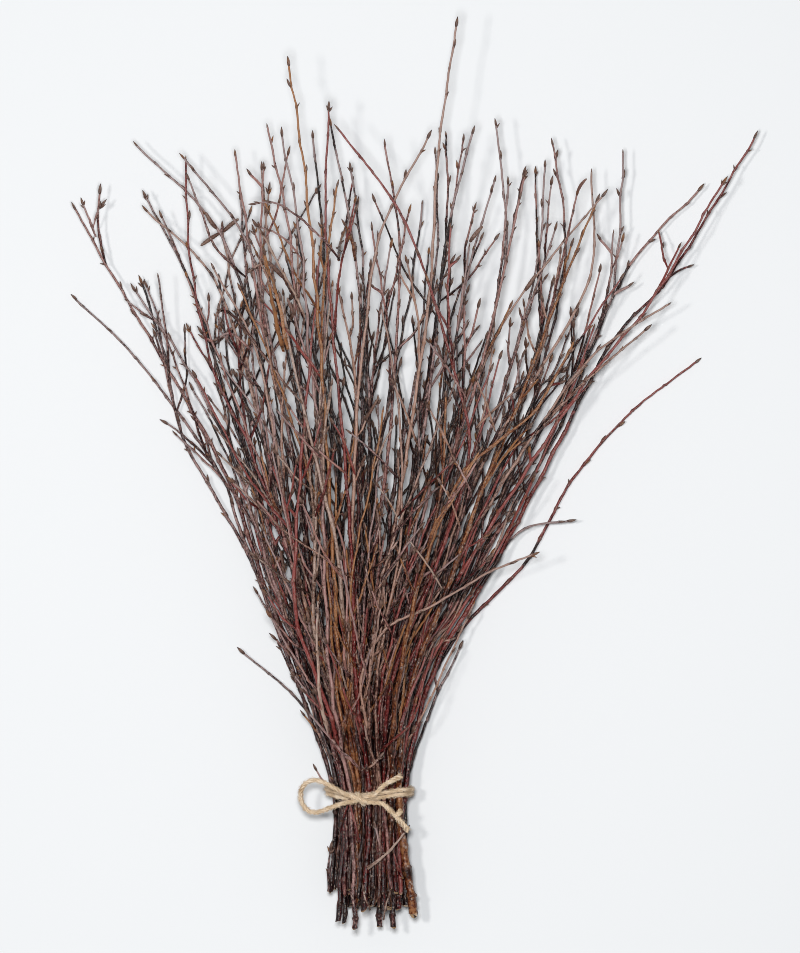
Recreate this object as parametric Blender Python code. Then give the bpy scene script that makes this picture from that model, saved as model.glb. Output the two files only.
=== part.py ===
"""A bundle of bare birch twigs tied with a jute bow, lying on a flat surface.

Metres, +Z up. The cut ends point to -Y and the fan of tips opens to +Y.
The origin is the middle of the bundle's footprint, on the surface.
"""
import math
import random

import bmesh
import bpy
import numpy as np
from mathutils import Vector

MM = 0.001
COLLECTION = "birch_twig_bundle"
CUTTERS = "birch_twig_bundle_shoots"
SEED = 7

# The tied neck, in millimetres.
NECK_X = -25.0
NECK_HALF_WIDTH = 25.0
NECK_HALF_HEIGHT = 20.0
NECK_Z = 23.6
TIE_Y = -192.0
BUTT_Y = -257.0
BUTT_SPREAD = 4.0

# The cut ends that stand out or stop short, and the thick stub that leans out at the right.
CUT_ENDS = {"left_01": -250.0, "left_08": -267.0, "left_04": -268.3, "middle_03": -271.0,
            "middle_12": -271.0, "right_06": -270.6, "right_08": -263.0}
STUB = "right_08"
STUB_LEAN = 5.2
STUB_DROP = 7.0

# Edges of the fan, as (y, left x, right x) in millimetres.
FAN = (
    (-192, -50, 0),
    (-158, -60, 4),
    (-116, -75, 17),
    (-74, -90, 42),
    (-38, -101, 62),
    (1, -114, 83),
    (46, -137, 104),
    (88, -169, 120),
)
SHOULDERS = (-160, -118, -76)
TANGLE = 12.0
BOW = 10.0
LOWEST = 2.2

# Stems, in millimetres: name, radius at the cut end, colour, height of the tip, points up to the tip,
# then shoots as (share of the way from tie to tip, tip x, tip y, tip height).
STEMS = (
    ("left_01", 1.7, "dark", 2.2, ((-100, -41), (-123, 16), (-158, 62), (-206, 110)), ((0.60, -153, 36, 6),)),
    ("left_02", 1.9, "dark", 20, ((-96, -50), (-115, 7), (-165, 94), (-193, 142), (-206, 166)),
     ((0.89, -188, 177, 26),)),
    ("left_03", 1.8, "dark", 12, ((-103, -38), (-124, 0), (-146, 43), (-148, 79), (-164, 121)),
     ((0.70, -153, 98, 20),)),
    ("left_04", 1.5, "dark", 30, ((-90, -41), (-108, 13), (-128, 52), (-148, 88), (-169, 115)),
     ((0.50, -145, 28, 14),)),
    ("left_05", 1.9, "dark", 24, ((-85, -38), (-103, 22), (-125, 88), (-134, 119), (-147, 146), (-162, 171)),
     ((0.55, -116, 120, 16),)),
    ("left_06", 1.7, "brown", 36, ((-76, -38), (-94, 46), (-108, 96), (-124, 126), (-145, 144), (-161, 162)),
     ((0.60, -114, 150, 30),)),
    ("left_07", 2.0, "dark", 32, ((-73, -26), (-90, 58), (-97, 118), (-121, 154), (-142, 174), (-166, 200)),
     ((0.66, -103, 171, 42),)),
    ("left_08", 1.8, "red", 40, ((-79, -14), (-112, 46), (-127, 103), (-133, 136), (-136, 169), (-134, 193)),
     ((0.55, -98, 128, 30),)),
    ("left_09", 1.6, "dark", 52, ((-67, -14), (-86, 88), (-104, 157), (-113, 167), (-139, 192)),
     ((0.50, -118, 92, 34),)),
    ("left_10", 1.8, "dark", 48, ((-67, -2), (-90, 94), (-99, 160), (-106, 195)), ((0.70, -88, 187, 60),)),
    ("left_11", 1.4, "dark", 8, ((-70, -134), (-90, -116), (-107, -103)), ()),
    ("left_12", 2.0, "brown", 62, ((-61, -88), (-80, 8), (-86, 60), (-120, 128)), ((0.55, -72, 100, 54),)),
    ("middle_01", 1.7, "brown", 50, ((-61, -2), (-79, 88), (-90, 157), (-91, 187)), ((0.55, -70, 140, 66),)),
    ("middle_02", 1.9, "dark", 60, ((-56, -2), (-72, 88), (-74, 157), (-85, 194), (-85, 211)),
     ((0.62, -96, 150, 48),)),
    ("middle_03", 1.5, "dark", 66, ((-54, 4), (-64, 88), (-70, 169), (-80, 206)), ((0.52, -50, 128, 70),)),
    ("middle_04", 2.0, "orange", 80, ((-49, -14), (-55, 88), (-61, 160), (-69, 208), (-73, 247)),
     ((0.60, -44, 176, 78),)),
    ("middle_05", 1.8, "dark", 40, ((-46, -2), (-52, 88), (-55, 172), (-61, 206)), ((0.50, -76, 130, 30),)),
    ("middle_06", 2.0, "red", 74, ((-40, -2), (-48, 88), (-53, 172), (-50, 222)), ((0.66, -34, 168, 60),)),
    ("middle_07", 1.7, "dark", 58, ((-24, -2), (-30, 106), (-42, 178), (-49, 213)), ((0.56, -12, 140, 70),)),
    ("middle_08", 1.8, "red", 82, ((35, 4), (11, 118), (-7, 157), (-26, 184), (-44, 208)),
     ((0.62, 24, 152, 84),)),
    ("middle_09", 1.8, "dark", 34, ((-31, 10), (-28, 106), (-34, 166), (-37, 188)), ((0.50, -14, 110, 24),)),
    ("middle_10", 2.0, "dark", 68, ((-16, -2), (-7, 106), (-10, 166), (-17, 200)), ((0.60, -24, 150, 76),)),
    ("middle_11", 1.6, "brown", 76, ((-37, -2), (-28, 94), (-19, 148), (-7, 173), (10, 204)),
     ((0.58, -46, 116, 62),)),
    ("middle_12", 1.8, "dark", 54, ((-10, -2), (12, 106), (16, 172), (13, 196)), ((0.50, 34, 92, 44),)),
    ("middle_13", 2.0, "brown", 72, ((-7, -14), (8, 88), (15, 154), (17, 214), (27, 270)),
     ((0.56, -4, 134, 60),)),
    ("middle_14", 1.6, "dark", 46, ((-1, -8), (17, 106), (23, 178), (20, 207)), ((0.60, 31, 200, 62),)),
    ("middle_15", 1.8, "dark", 60, ((2, -2), (17, 106), (24, 178), (38, 207)), ((0.50, 0, 96, 30),)),
    ("middle_16", 2.1, "tan", 70, ((-55, -118), (-57, -50), (-54, 46), (-46, 118)), ((0.50, -64, 30, 74),)),
    ("middle_17", 1.9, "tan", 78, ((-43, -62), (-48, -32), (-56, 0), (-67, 46), (-80, 110)),
     ((0.60, -48, 60, 80),)),
    ("middle_18", 1.8, "red", 72, ((-69, -80), (-68, -30), (-66, 4), (-61, 58), (-54, 136)),
     ((0.45, -88, 20, 62),)),
    ("middle_19", 2.1, "orange", 80, ((-4, -100), (8, -50), (28, -2), (47, 16), (74, 41), (98, 84)),
     ((0.50, 20, 52, 82),)),
    ("middle_20", 1.9, "dark", 14, ((-30, -60), (-18, 30), (-4, 96), (6, 168)), ((0.45, -30, 76, 10),)),
    ("right_01", 1.7, "dark", 50, ((11, -2), (28, 88), (36, 142), (46, 166), (49, 180)), ((0.60, 34, 140, 64),)),
    ("right_02", 1.7, "dark", 36, ((14, -14), (23, 88), (32, 119), (44, 146)), ((0.50, 46, 86, 24),)),
    ("right_03", 1.9, "dark", 44, ((26, -14), (50, 94), (58, 148), (53, 196), (51, 213)),
     ((0.72, 59, 180, 56),)),
    ("right_04", 1.7, "brown", 60, ((20, 4), (47, 88), (59, 157), (68, 182)), ((0.56, 30, 108, 50),)),
    ("right_05", 1.8, "dark", 40, ((35, -2), (68, 88), (77, 157), (80, 189)), ((0.60, 86, 150, 50),)),
    ("right_06", 1.7, "dark", 30, ((47, -8), (89, 88), (91, 142), (86, 190), (81, 200)), ((0.62, 75, 142, 44),)),
    ("right_07", 1.9, "brown", 34, ((41, 4), (89, 82), (110, 130), (107, 166), (109, 185)),
     ((0.64, 90, 138, 48),)),
    ("right_08", 2.8, "orange", 46, ((40, -14), (77, 76), (91, 118), (100, 149), (114, 166)),
     ((0.50, 74, 34, 60),)),
    ("right_09", 1.8, "dark", 24, ((1, -122), (53, -14), (98, 64), (119, 112), (123, 157), (126, 197)),
     ((0.74, 120, 152, 36),)),
    ("right_10", 1.8, "dark", 12, ((5, -112), (65, -14), (107, 64), (125, 109), (138, 140), (176, 174)),
     ((0.60, 98, 96, 26),)),
    ("right_11", 2.0, "red", 20, ((14, -116), (41, -68), (74, -11), (104, 55), (137, 102), (173, 140), (206, 204)),
     ((0.78, 171, 128, 10),)),
    ("right_12", 1.8, "red", 34, ((-1, -112), (54, -20), (101, 52), (149, 112), (168, 142), (187, 177)),
     ((0.80, 163, 143, 26),)),
    ("right_13", 1.9, "brown", 42, ((-6, -116), (50, -12), (107, 70), (137, 94), (158, 104)),
     ((0.66, 143, 90, 54),)),
    ("right_14", 1.8, "red", 2.2, ((17, -111), (40, -81), (79, -39), (106, 15), (145, 48), (175, 72)), ()),
    ("right_15", 1.6, "dark", 16, ((29, -80), (62, -36), (82, -27), (100, -28)), ()),
    ("right_16", 1.7, "orange", 60, ((-30, -110), (-8, -86), (23, -72), (53, -53), (78, -45)), ()),
    ("right_17", 1.4, "dark", 10, ((4, -158), (11, -139), (22, -116), (31, -98)), ()),
    ("right_18", 2.0, "dark", 6, ((16, -60), (44, 10), (70, 60), (86, 120)), ((0.50, 92, 60, 4),)),
)

COLOURS = {
    "dark": (0.045, 0.026, 0.024, 1.0),
    "brown": (0.10, 0.048, 0.030, 1.0),
    "red": (0.115, 0.032, 0.026, 1.0),
    "orange": (0.23, 0.082, 0.022, 1.0),
    "tan": (0.24, 0.145, 0.085, 1.0),
    "jute": (0.50, 0.36, 0.20, 1.0),
}

STEM_SPANS = 6
BUD_LENGTH = 7.0
TIP_RADIUS = 0.8
BUD_RADIUS = 1.25
BUD_POINT = 0.35
SHOOT_RADIUS = 1.0
CLEARANCE = 0.35

# Rows and columns of stems in the neck: row spacing, shift of the grid, shrink, and stems to a column.
ROW_SPACING = 0.866
GRID_SHIFT = (0.21, 0.13)
GRID_SHRINK = 0.93
STEMS_TO_COLUMN = 6

TWINE_RADIUS = 1.4
TURN_POINTS = 26
TURN_RADIUS = 1.15
TURN_OFFSETS = (3.9, 1.25)
TURN_DIP = 3.4
TWINE_GAP = 0.75
KNOT_X = -31.0


def along(points, shares):
    """Points at the given shares of the length of a smooth line through the given points."""
    pts = np.asarray(points, dtype=float)
    ends = np.vstack([2 * pts[0] - pts[1], pts, 2 * pts[-1] - pts[-2]])
    steps = np.linspace(0.0, 1.0, 17)[:-1, None]
    smooth = []
    for a, b, c, d in zip(ends, ends[1:], ends[2:], ends[3:]):
        smooth.append(0.5 * (2 * b + (c - a) * steps + (2 * a - 5 * b + 4 * c - d) * steps ** 2
                             + (3 * b - a - 3 * c + d) * steps ** 3))
    line = np.vstack(smooth + [pts[-1:]])
    run = np.concatenate([[0.0], np.cumsum(np.linalg.norm(np.diff(line, axis=0), axis=1))])
    wanted = np.asarray(shares) * run[-1]
    return np.column_stack([np.interp(wanted, run, line[:, k]) for k in range(3)]), run[-1]


def fan_edges(y):
    """Left and right edge of the fan at one distance from the tie."""
    ys, lefts, rights = zip(*FAN)
    return np.interp(y, ys, lefts), np.interp(y, ys, rights)


def neck_slots(count):
    """Places for the stems inside the tie, evenly packed in its oval, as (across, up)."""
    spacing = math.sqrt(math.pi * NECK_HALF_WIDTH * NECK_HALF_HEIGHT / count / ROW_SPACING)
    cells = []
    for row in range(-9, 10):
        for column in range(-9, 10):
            across = (column + 0.5 * (row % 2) + GRID_SHIFT[0]) * spacing
            up = (row + GRID_SHIFT[1]) * spacing * ROW_SPACING
            reach = math.hypot(across / NECK_HALF_WIDTH, up / NECK_HALF_HEIGHT)
            cells.append((reach, across * GRID_SHRINK, up * GRID_SHRINK))
    return [cell[1:] for cell in sorted(cells)[:count]]


def assign_slots(stems, rng):
    """Gives every stem a place in the neck that mostly follows its own side and height."""
    slots = sorted(neck_slots(len(stems)))
    sides = [stem[4][0][0] - 0.25 * stem[4][0][1] + rng.uniform(-1, 1) * TANGLE for stem in stems]
    levels = [stem[3] + rng.uniform(-1, 1) * TANGLE for stem in stems]
    order = sorted(range(len(stems)), key=lambda n: sides[n])
    chosen = {}
    for start in range(0, len(stems), STEMS_TO_COLUMN):
        group = sorted(order[start:start + STEMS_TO_COLUMN], key=lambda n: levels[n])
        places = sorted(slots[start:start + STEMS_TO_COLUMN], key=lambda place: place[1])
        for stem, place in zip(group, places):
            chosen[stem] = place
    return chosen


def shoulder_points(share_start, share_end, first_y):
    """Points that lead a stem from its place in the tie to its own side of the fan."""
    points = []
    for y in SHOULDERS:
        if y < first_y - 25:
            part = (y - TIE_Y) / (first_y - TIE_Y)
            left, right = fan_edges(y)
            points.append((left + (share_start + (share_end - share_start) * part) * (right - left), y))
    return points


def stem_line(stem, slot, rng):
    """Guide points of one stem from its cut end through the tie to its tip."""
    name, _, _, tip_height, points, _ = stem
    across, up = slot
    tie_height = NECK_Z + up
    end_y = CUT_ENDS.get(name, BUTT_Y + rng.uniform(-BUTT_SPREAD, BUTT_SPREAD))
    end_x = NECK_X + across + rng.uniform(-3.5, 3.5)
    end_z = tie_height - 1.5 + rng.uniform(-3, 3)
    if name == STUB:
        end_x += STUB_LEAN
        end_z -= STUB_DROP
    line = [(end_x, end_y, max(end_z, LOWEST)), (NECK_X + across, TIE_Y, max(tie_height, LOWEST))]
    first_x, first_y = points[0]
    left, right = fan_edges(first_y)
    share_start = 0.5 + across / (2 * NECK_HALF_WIDTH)
    share_end = (first_x - left) / (right - left)
    total = math.hypot(points[-1][0] - NECK_X, points[-1][1] - TIE_Y)
    for x, y in shoulder_points(share_start, share_end, first_y) + list(points):
        way = min(1.0, math.hypot(x - NECK_X, y - TIE_Y) / total)
        bow = BOW * math.sin(math.pi * way) * (0.4 if tip_height < 20 else 1.0)
        height = tie_height + (tip_height - tie_height) * way ** 0.85 + (bow if tip_height > 30 else -0.3 * bow)
        line.append((x, y, max(height, LOWEST)))
    return line


def stem_radius(way, butt_radius):
    """Radius of a stem at a share of its way from the cut end to its bud."""
    return butt_radius + (TIP_RADIUS - butt_radius) * way ** 0.7


class Tangle:
    """All stems and shoots as chains of points that can be eased apart."""

    def __init__(self):
        self.points = []
        self.radii = []
        self.links = []
        self.chains = {}

    def add(self, name, points, radii, root=None):
        """Adds one chain; a shoot starts at the point `root` of its stem."""
        chain = [] if root is None else [root]
        for point, radius in zip(points, radii):
            chain.append(len(self.points))
            self.points.append(point)
            self.radii.append(radius)
        self.links.extend(zip(chain, chain[1:]))
        self.chains[name] = chain
        return chain


def closest_shares(p, u, q, v):
    """Shares along the segments p + s*u and q + t*v where they come closest."""
    w = p - q
    a = (u * u).sum(1)
    b = (u * v).sum(1)
    c = (v * v).sum(1)
    d = (u * w).sum(1)
    e = (v * w).sum(1)
    s = np.clip((b * e - c * d) / np.maximum(a * c - b * b, 1e-9), 0, 1)
    t = np.clip((b * s + e) / c, 0, 1)
    s = np.clip((b * t - d) / a, 0, 1)
    return s, t


def near_links(points, links, reach):
    """Pairs of links whose boxes come near each other and that share no point."""
    low = np.minimum(points[links[:, 0]], points[links[:, 1]]) - reach
    high = np.maximum(points[links[:, 0]], points[links[:, 1]]) + reach
    first, second = np.triu_indices(len(links), 1)
    close = np.ones(len(first), dtype=bool)
    for axis in range(3):
        close &= low[first, axis] < high[second, axis]
        close &= low[second, axis] < high[first, axis]
    first, second = first[close], second[close]
    shared = (links[first][:, :, None] == links[second][:, None, :]).any(axis=(1, 2))
    return first[~shared], second[~shared]


def hold_in_place(points, radii, tie_points):
    """Keeps every point above the surface and the tied points inside the oval of the neck."""
    points[:, 2] = np.maximum(points[:, 2], radii + 0.02)
    x = points[tie_points, 0] - NECK_X
    z = points[tie_points, 2] - NECK_Z
    wide = NECK_HALF_WIDTH - radii[tie_points]
    tall = NECK_HALF_HEIGHT - radii[tie_points]
    out = np.maximum(np.hypot(x / wide, z / tall), 1.0)
    points[tie_points, 0] = NECK_X + x / out
    points[tie_points, 2] = NECK_Z + z / out
    points[tie_points, 1] = TIE_Y


def ease_apart(tangle, tie_points, sweeps=420, settle=140):
    """Moves the chains until no two touch, keeping their bends smooth."""
    points = np.array(tangle.points)
    radii = np.array(tangle.radii)
    links = np.array(tangle.links)
    tie_points = np.array(tie_points)
    start = points.copy()
    degree = np.bincount(links.ravel(), minlength=len(points))[:, None]
    for sweep in range(sweeps):
        if sweep % 10 == 0:
            first, second = near_links(points, links, 4.0)
        a0, a1 = links[first].T
        b0, b1 = links[second].T
        s, t = closest_shares(points[a0], points[a1] - points[a0], points[b0], points[b1] - points[b0])
        s, t = s[:, None], t[:, None]
        apart = points[a0] * (1 - s) + points[a1] * s - points[b0] * (1 - t) - points[b1] * t
        distance = np.linalg.norm(apart, axis=1)[:, None]
        reach = (np.maximum(radii[a0], radii[a1]) + np.maximum(radii[b0], radii[b1]))[:, None] + CLEARANCE
        push = np.clip(reach + 0.06 - distance, 0, 1.5)
        apart = np.where(distance < 1e-4, (0, 0, 1.0), apart / np.maximum(distance, 1e-4)) * push
        moved = np.zeros_like(points)
        touched = np.zeros((len(points), 1))
        for index, weight, sign in ((a0, 1 - s, 1), (a1, s, 1), (b0, 1 - t, -1), (b1, t, -1)):
            np.add.at(moved, index, sign * weight * apart)
            np.add.at(touched, index, weight * (push > 0))
        points += moved / np.maximum(touched, 1.0) * 0.9
        if sweep < sweeps - settle:
            shift = points - start
            mean = np.zeros_like(points)
            np.add.at(mean, links[:, 0], shift[links[:, 1]])
            np.add.at(mean, links[:, 1], shift[links[:, 0]])
            points = start + shift * 0.75 + mean / degree * 0.25
        hold_in_place(points, radii, tie_points)
    return points, radii


def stem_shares(shoots):
    """Shares of the way from tie to bud at which a stem has its points, with one at every fork."""
    shares = [k / STEM_SPANS for k in range(1, STEM_SPANS)]
    for shoot in shoots:
        nearest = min(range(len(shares)), key=lambda k: abs(shares[k] - shoot[0]))
        shares[nearest] = shoot[0]
    return shares


def shoot_points(fork, heading, tip):
    """Points of a shoot that leaves its fork along the stem and bends over to its own tip."""
    fork, tip = np.array(fork), np.array(tip)
    length = np.linalg.norm(tip - fork)
    side = (tip - fork) / length
    bend = fork + (heading * 0.30 + side * 0.70) * length * 0.45
    end = (tip - bend) / np.linalg.norm(tip - bend)
    return [bend, tip - end * (BUD_LENGTH - 1.0), tip - end * 2.5, tip]


def lay_out_twigs():
    """Builds every chain and eases them apart; returns lines and radii by name."""
    rng = random.Random(SEED)
    tangle = Tangle()
    slots = assign_slots(STEMS, rng)
    tie_points = []
    shoots_of = {}
    for number, stem in enumerate(STEMS):
        name, butt_radius, _, _, _, shoots = stem
        guide = stem_line(stem, slots[number], rng)
        upper, length = along(guide[1:], [0.0] + stem_shares(shoots) + [1.0])
        _, full = along(guide, [0.0, 1.0])
        bud_share = 1.0 - BUD_LENGTH / length
        bud, _ = along(guide[1:], [bud_share, 1.0 - 0.4 * (1 - bud_share), 1.0])
        line = [guide[0]] + list(upper[:-1]) + list(bud)
        shares = np.array([0.0] + stem_shares(shoots) + [bud_share])
        ways = np.concatenate([[0.0], (full - length + shares * length) / full])
        radii = [stem_radius(way, butt_radius) for way in ways] + [BUD_RADIUS, BUD_POINT]
        chain = tangle.add(name, line, radii)
        tie_points.append(chain[1])
        shoots_of[name] = []
        for order, (share, x, y, z) in enumerate(shoots):
            fork = 2 + stem_shares(shoots).index(share)
            heading = np.array(line[fork + 1]) - np.array(line[fork - 1])
            heading /= np.linalg.norm(heading)
            points = shoot_points(line[fork], heading, (x, y, z))
            girths = [0.88, 0.7, 1.15, BUD_POINT]
            shoot = name + "_shoot_" + str(order + 1)
            tangle.add(shoot, points, girths, root=chain[fork])
            shoots_of[name].append(shoot)
    points, radii = ease_apart(tangle, tie_points)
    lines = {name: points[chain] for name, chain in tangle.chains.items()}
    widths = {name: radii[chain] for name, chain in tangle.chains.items()}
    for shoots in shoots_of.values():
        for shoot in shoots:
            widths[shoot][0] = SHOOT_RADIUS
    return lines, widths, shoots_of


def new_collection(name):
    """An empty collection of that name in the scene."""
    collection = bpy.data.collections.new(name)
    bpy.context.scene.collection.children.link(collection)
    return collection


def material(name, colour, roughness):
    """A plain material for one object."""
    made = bpy.data.materials.new(name)
    made.use_nodes = True
    shader = made.node_tree.nodes["Principled BSDF"]
    shader.inputs["Base Color"].default_value = COLOURS[colour]
    shader.inputs["Roughness"].default_value = roughness
    shader.inputs["Metallic"].default_value = 0.0
    return made


def tube_mesh(name, points, radii, roundness, closed=False):
    """A welded tube along a line of points given in millimetres."""
    curve = bpy.data.curves.new(name, "CURVE")
    curve.dimensions = "3D"
    curve.bevel_depth = MM
    curve.bevel_resolution = roundness
    curve.use_fill_caps = not closed
    spline = curve.splines.new("POLY")
    spline.points.add(len(points) - 1)
    for spot, point, radius in zip(spline.points, points, radii):
        spot.co = (*(Vector(point) * MM), 1.0)
        spot.radius = radius
    spline.use_cyclic_u = closed
    holder = bpy.data.objects.new(name, curve)
    bpy.context.scene.collection.objects.link(holder)
    bpy.context.view_layer.update()
    mesh = bpy.data.meshes.new_from_object(holder.evaluated_get(bpy.context.evaluated_depsgraph_get()))
    bpy.data.objects.remove(holder)
    weld = bmesh.new()
    weld.from_mesh(mesh)
    bmesh.ops.remove_doubles(weld, verts=weld.verts, dist=0.01 * MM)
    bmesh.ops.recalc_face_normals(weld, faces=weld.faces)
    weld.to_mesh(mesh)
    weld.free()
    return mesh


def place(mesh, name, collection, paint=None):
    """Puts a mesh in a collection with its own origin at its middle."""
    middle = sum((v.co for v in mesh.vertices), Vector()) / len(mesh.vertices)
    for vertex in mesh.vertices:
        vertex.co -= middle
    mesh.name = name
    obj = bpy.data.objects.new(name, mesh)
    obj.location = middle
    collection.objects.link(obj)
    if paint is not None:
        mesh.materials.clear()
        mesh.materials.append(paint)
    return obj


def grow_shoot(twig, points, radii, name, cutters):
    """Joins one shoot to its twig."""
    shoot = place(tube_mesh(name, points, radii, 0), name, cutters)
    union = twig.modifiers.new(name, "BOOLEAN")
    union.operation = "UNION"
    union.solver = "EXACT"
    union.object = shoot
    shoot.hide_render = True
    shoot.display_type = "WIRE"


def build_twigs(lines, widths, shoots_of, bundle, cutters):
    """One object for every twig, its shoots joined to it."""
    for stem in STEMS:
        name = stem[0]
        paint = material("bark_" + name, stem[2], 0.62)
        twig = place(tube_mesh(name, lines[name], widths[name], 1), "twig_" + name, bundle, paint)
        for shoot in shoots_of[name]:
            grow_shoot(twig, lines[shoot], widths[shoot], shoot, cutters)


def outline_of(circles, margin):
    """Convex outline around circles given as (x, z, radius), in anticlockwise order."""
    angles = np.linspace(0, 2 * math.pi, 24, endpoint=False)
    dots = []
    for x, z, radius in circles:
        dots.extend((x + (radius + margin) * math.cos(a), z + (radius + margin) * math.sin(a)) for a in angles)
    dots = sorted(dots)

    def half(run):
        hull = []
        for dot in run:
            while len(hull) > 1 and turn(hull[-2], hull[-1], dot) <= 0:
                hull.pop()
            hull.append(dot)
        return hull[:-1]

    return half(dots) + half(dots[::-1])


def turn(a, b, c):
    """Positive where the path a, b, c turns left."""
    return (b[0] - a[0]) * (c[1] - a[1]) - (b[1] - a[1]) * (c[0] - a[0])


def cross_section(lines, widths, y):
    """Circles of all stems where they pass one distance along the bundle."""
    circles = []
    for stem in STEMS:
        line = lines[stem[0]]
        for k in range(2):
            a, b = line[k], line[k + 1]
            if min(a[1], b[1]) <= y <= max(a[1], b[1]):
                share = (y - a[1]) / (b[1] - a[1])
                spot = a + (b - a) * share
                circles.append((spot[0], spot[2], widths[stem[0]][k]))
                break
    return circles


def ring_around(lines, widths, y, margin):
    """Closed line of twine centre points hugging the stems at one distance along the bundle."""
    hull = np.array(outline_of(cross_section(lines, widths, y), margin))
    closed = np.vstack([hull, hull[:1]])
    run = np.concatenate([[0.0], np.cumsum(np.linalg.norm(np.diff(closed, axis=0), axis=1))])
    wanted = np.linspace(0, run[-1], TURN_POINTS, endpoint=False)
    ring = np.column_stack([np.interp(wanted, run, closed[:, 0]), np.interp(wanted, run, closed[:, 1])])
    return np.column_stack([ring[:, 0], np.full(len(ring), y), ring[:, 1]])


def turn_line(lines, widths, y):
    """Closed line of one turn of twine, drawn down to the knot on top, no lower than the surface."""
    ring = ring_around(lines, widths, y, TURN_RADIUS + TWINE_GAP)
    ring[:, 2] = np.maximum(ring[:, 2], TURN_RADIUS)
    away = np.clip(np.abs(ring[:, 0] - KNOT_X) / 24.0, 0, 1)
    ring[:, 1] -= np.where(ring[:, 2] > NECK_Z, TURN_DIP * (1 - away) * np.clip((ring[:, 2] - NECK_Z) / 12, 0, 1), 0)
    return ring


def top_of(ring, x):
    """Height of the top of a turn of twine at one place across."""
    upper = ring[ring[:, 2] > NECK_Z]
    upper = upper[np.argsort(upper[:, 0])]
    return float(np.interp(x, upper[:, 0], upper[:, 2])) + TURN_RADIUS


def bow_lines(rings):
    """Routes of the bow's pieces and their widths: the knot, the open loop and the two loose ends."""
    crown = max(top_of(ring, KNOT_X + dx) for ring in rings for dx in (-7, 0, 7))
    top = crown + TWINE_RADIUS + 1.5
    knot = ((-37.4, -191.0, top - 0.8), (-34.5, -194.4, top - 0.2), (-31.2, -191.4, top + 0.5),
            (-27.8, -195.2, top - 0.4), (-25.2, -192.6, top - 0.8))
    loop = ((-40.0, -190.4, top + 0.5), (-49.2, -185.0, top + 3.0), (-55.4, -182.2, top + 3.4),
            (-61.4, -182.2, top + 1.6), (-66.0, -187.0, top - 1.8), (-66.8, -192.6, top - 4.8),
            (-65.0, -197.4, top - 7.0), (-61.0, -201.2, top - 7.6), (-55.0, -200.8, top - 5.4),
            (-48.0, -198.0, top - 1.6), (-40.2, -195.4, top + 0.4))
    upper = ((-22.0, -190.6, top + 0.2), (-18.6, -186.4, top - 0.2), (-13.4, -182.9, top - 1.6),
             (-6.6, -179.7, top - 5.0))
    lower = ((-22.4, -195.4, top + 0.4), (-17.6, -196.0, top + 0.6), (-13.4, -199.8, top - 0.6),
             (-9.4, -204.0, top - 2.6), (-5.6, -208.4, top - 5.4), (-2.6, -212.2, top - 8.4))
    knot_widths = [1.7, 2.3, 2.4, 2.2, 2.4, 2.3, 2.4, 2.1, 1.7]
    frayed = [1.3, 1.4, 1.5, 1.6, 1.8, 2.0, 2.0, 1.5]
    routes = {"knot": (knot, knot_widths), "loop": (loop, [TWINE_RADIUS] * 15),
              "tail_upper": (upper, [TWINE_RADIUS] * 7), "tail_lower": (lower, frayed)}
    return {name: (along(route, np.linspace(0, 1, len(widths)))[0], widths)
            for name, (route, widths) in routes.items()}


def build_twine(lines, widths, bundle):
    """The two turns round the neck and the bow on top."""
    rings = [turn_line(lines, widths, TIE_Y + offset) for offset in TURN_OFFSETS]
    for number, ring in enumerate(rings):
        name = "turn_" + str(number + 1)
        mesh = tube_mesh("twine_" + name, ring, [TURN_RADIUS] * len(ring), 1, closed=True)
        place(mesh, "twine_" + name, bundle, material("jute_" + name, "jute", 0.9))
    for name, (line, girths) in bow_lines(rings).items():
        mesh = tube_mesh("twine_" + name, line, girths, 1 if name == "knot" else 2)
        place(mesh, "twine_" + name, bundle, material("jute_" + name, "jute", 0.9))


def main():
    for obj in list(bpy.data.objects):
        bpy.data.objects.remove(obj)
    bundle = new_collection(COLLECTION)
    cutters = new_collection(CUTTERS)
    lines, widths, shoots_of = lay_out_twigs()
    build_twigs(lines, widths, shoots_of, bundle, cutters)
    build_twine(lines, widths, bundle)


main()
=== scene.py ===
"""Looks of the tied bundle of birch twigs: jointed budded twigs, twisted jute, light and camera."""
import math
import random

import bpy
import numpy as np
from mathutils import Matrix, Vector

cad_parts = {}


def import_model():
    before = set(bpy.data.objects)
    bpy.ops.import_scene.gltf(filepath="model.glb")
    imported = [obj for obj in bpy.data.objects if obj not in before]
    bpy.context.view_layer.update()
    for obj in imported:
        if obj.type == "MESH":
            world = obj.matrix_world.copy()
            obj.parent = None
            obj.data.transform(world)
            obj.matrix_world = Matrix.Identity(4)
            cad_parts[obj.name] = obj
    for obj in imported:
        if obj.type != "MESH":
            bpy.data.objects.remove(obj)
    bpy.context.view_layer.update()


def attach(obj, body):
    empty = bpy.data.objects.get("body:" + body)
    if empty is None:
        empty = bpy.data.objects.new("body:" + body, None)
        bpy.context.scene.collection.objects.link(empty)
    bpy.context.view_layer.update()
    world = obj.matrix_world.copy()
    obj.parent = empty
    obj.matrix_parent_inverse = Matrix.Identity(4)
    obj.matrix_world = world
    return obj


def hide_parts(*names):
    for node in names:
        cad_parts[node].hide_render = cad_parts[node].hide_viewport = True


MM = 0.001
SEED = 7

# The tied neck and the cut ends, in millimetres.
NECK_X = -25.0
NECK_HALF_WIDTH = 25.0
NECK_HALF_HEIGHT = 20.0
NECK_Z = 23.6
TIE_Y = -192.0
BUTT_Y = -257.0
BUTT_SPREAD = 4.0

# The cut ends that stand out or stop short, and the thick stub that leans out at the right.
CUT_ENDS = {"left_01": -250.0, "left_08": -267.0, "left_04": -268.3, "middle_03": -271.0,
            "middle_12": -271.0, "right_06": -270.6, "right_08": -263.0}
STUB = "right_08"
STUB_LEAN = 5.2
STUB_DROP = 7.0

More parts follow.
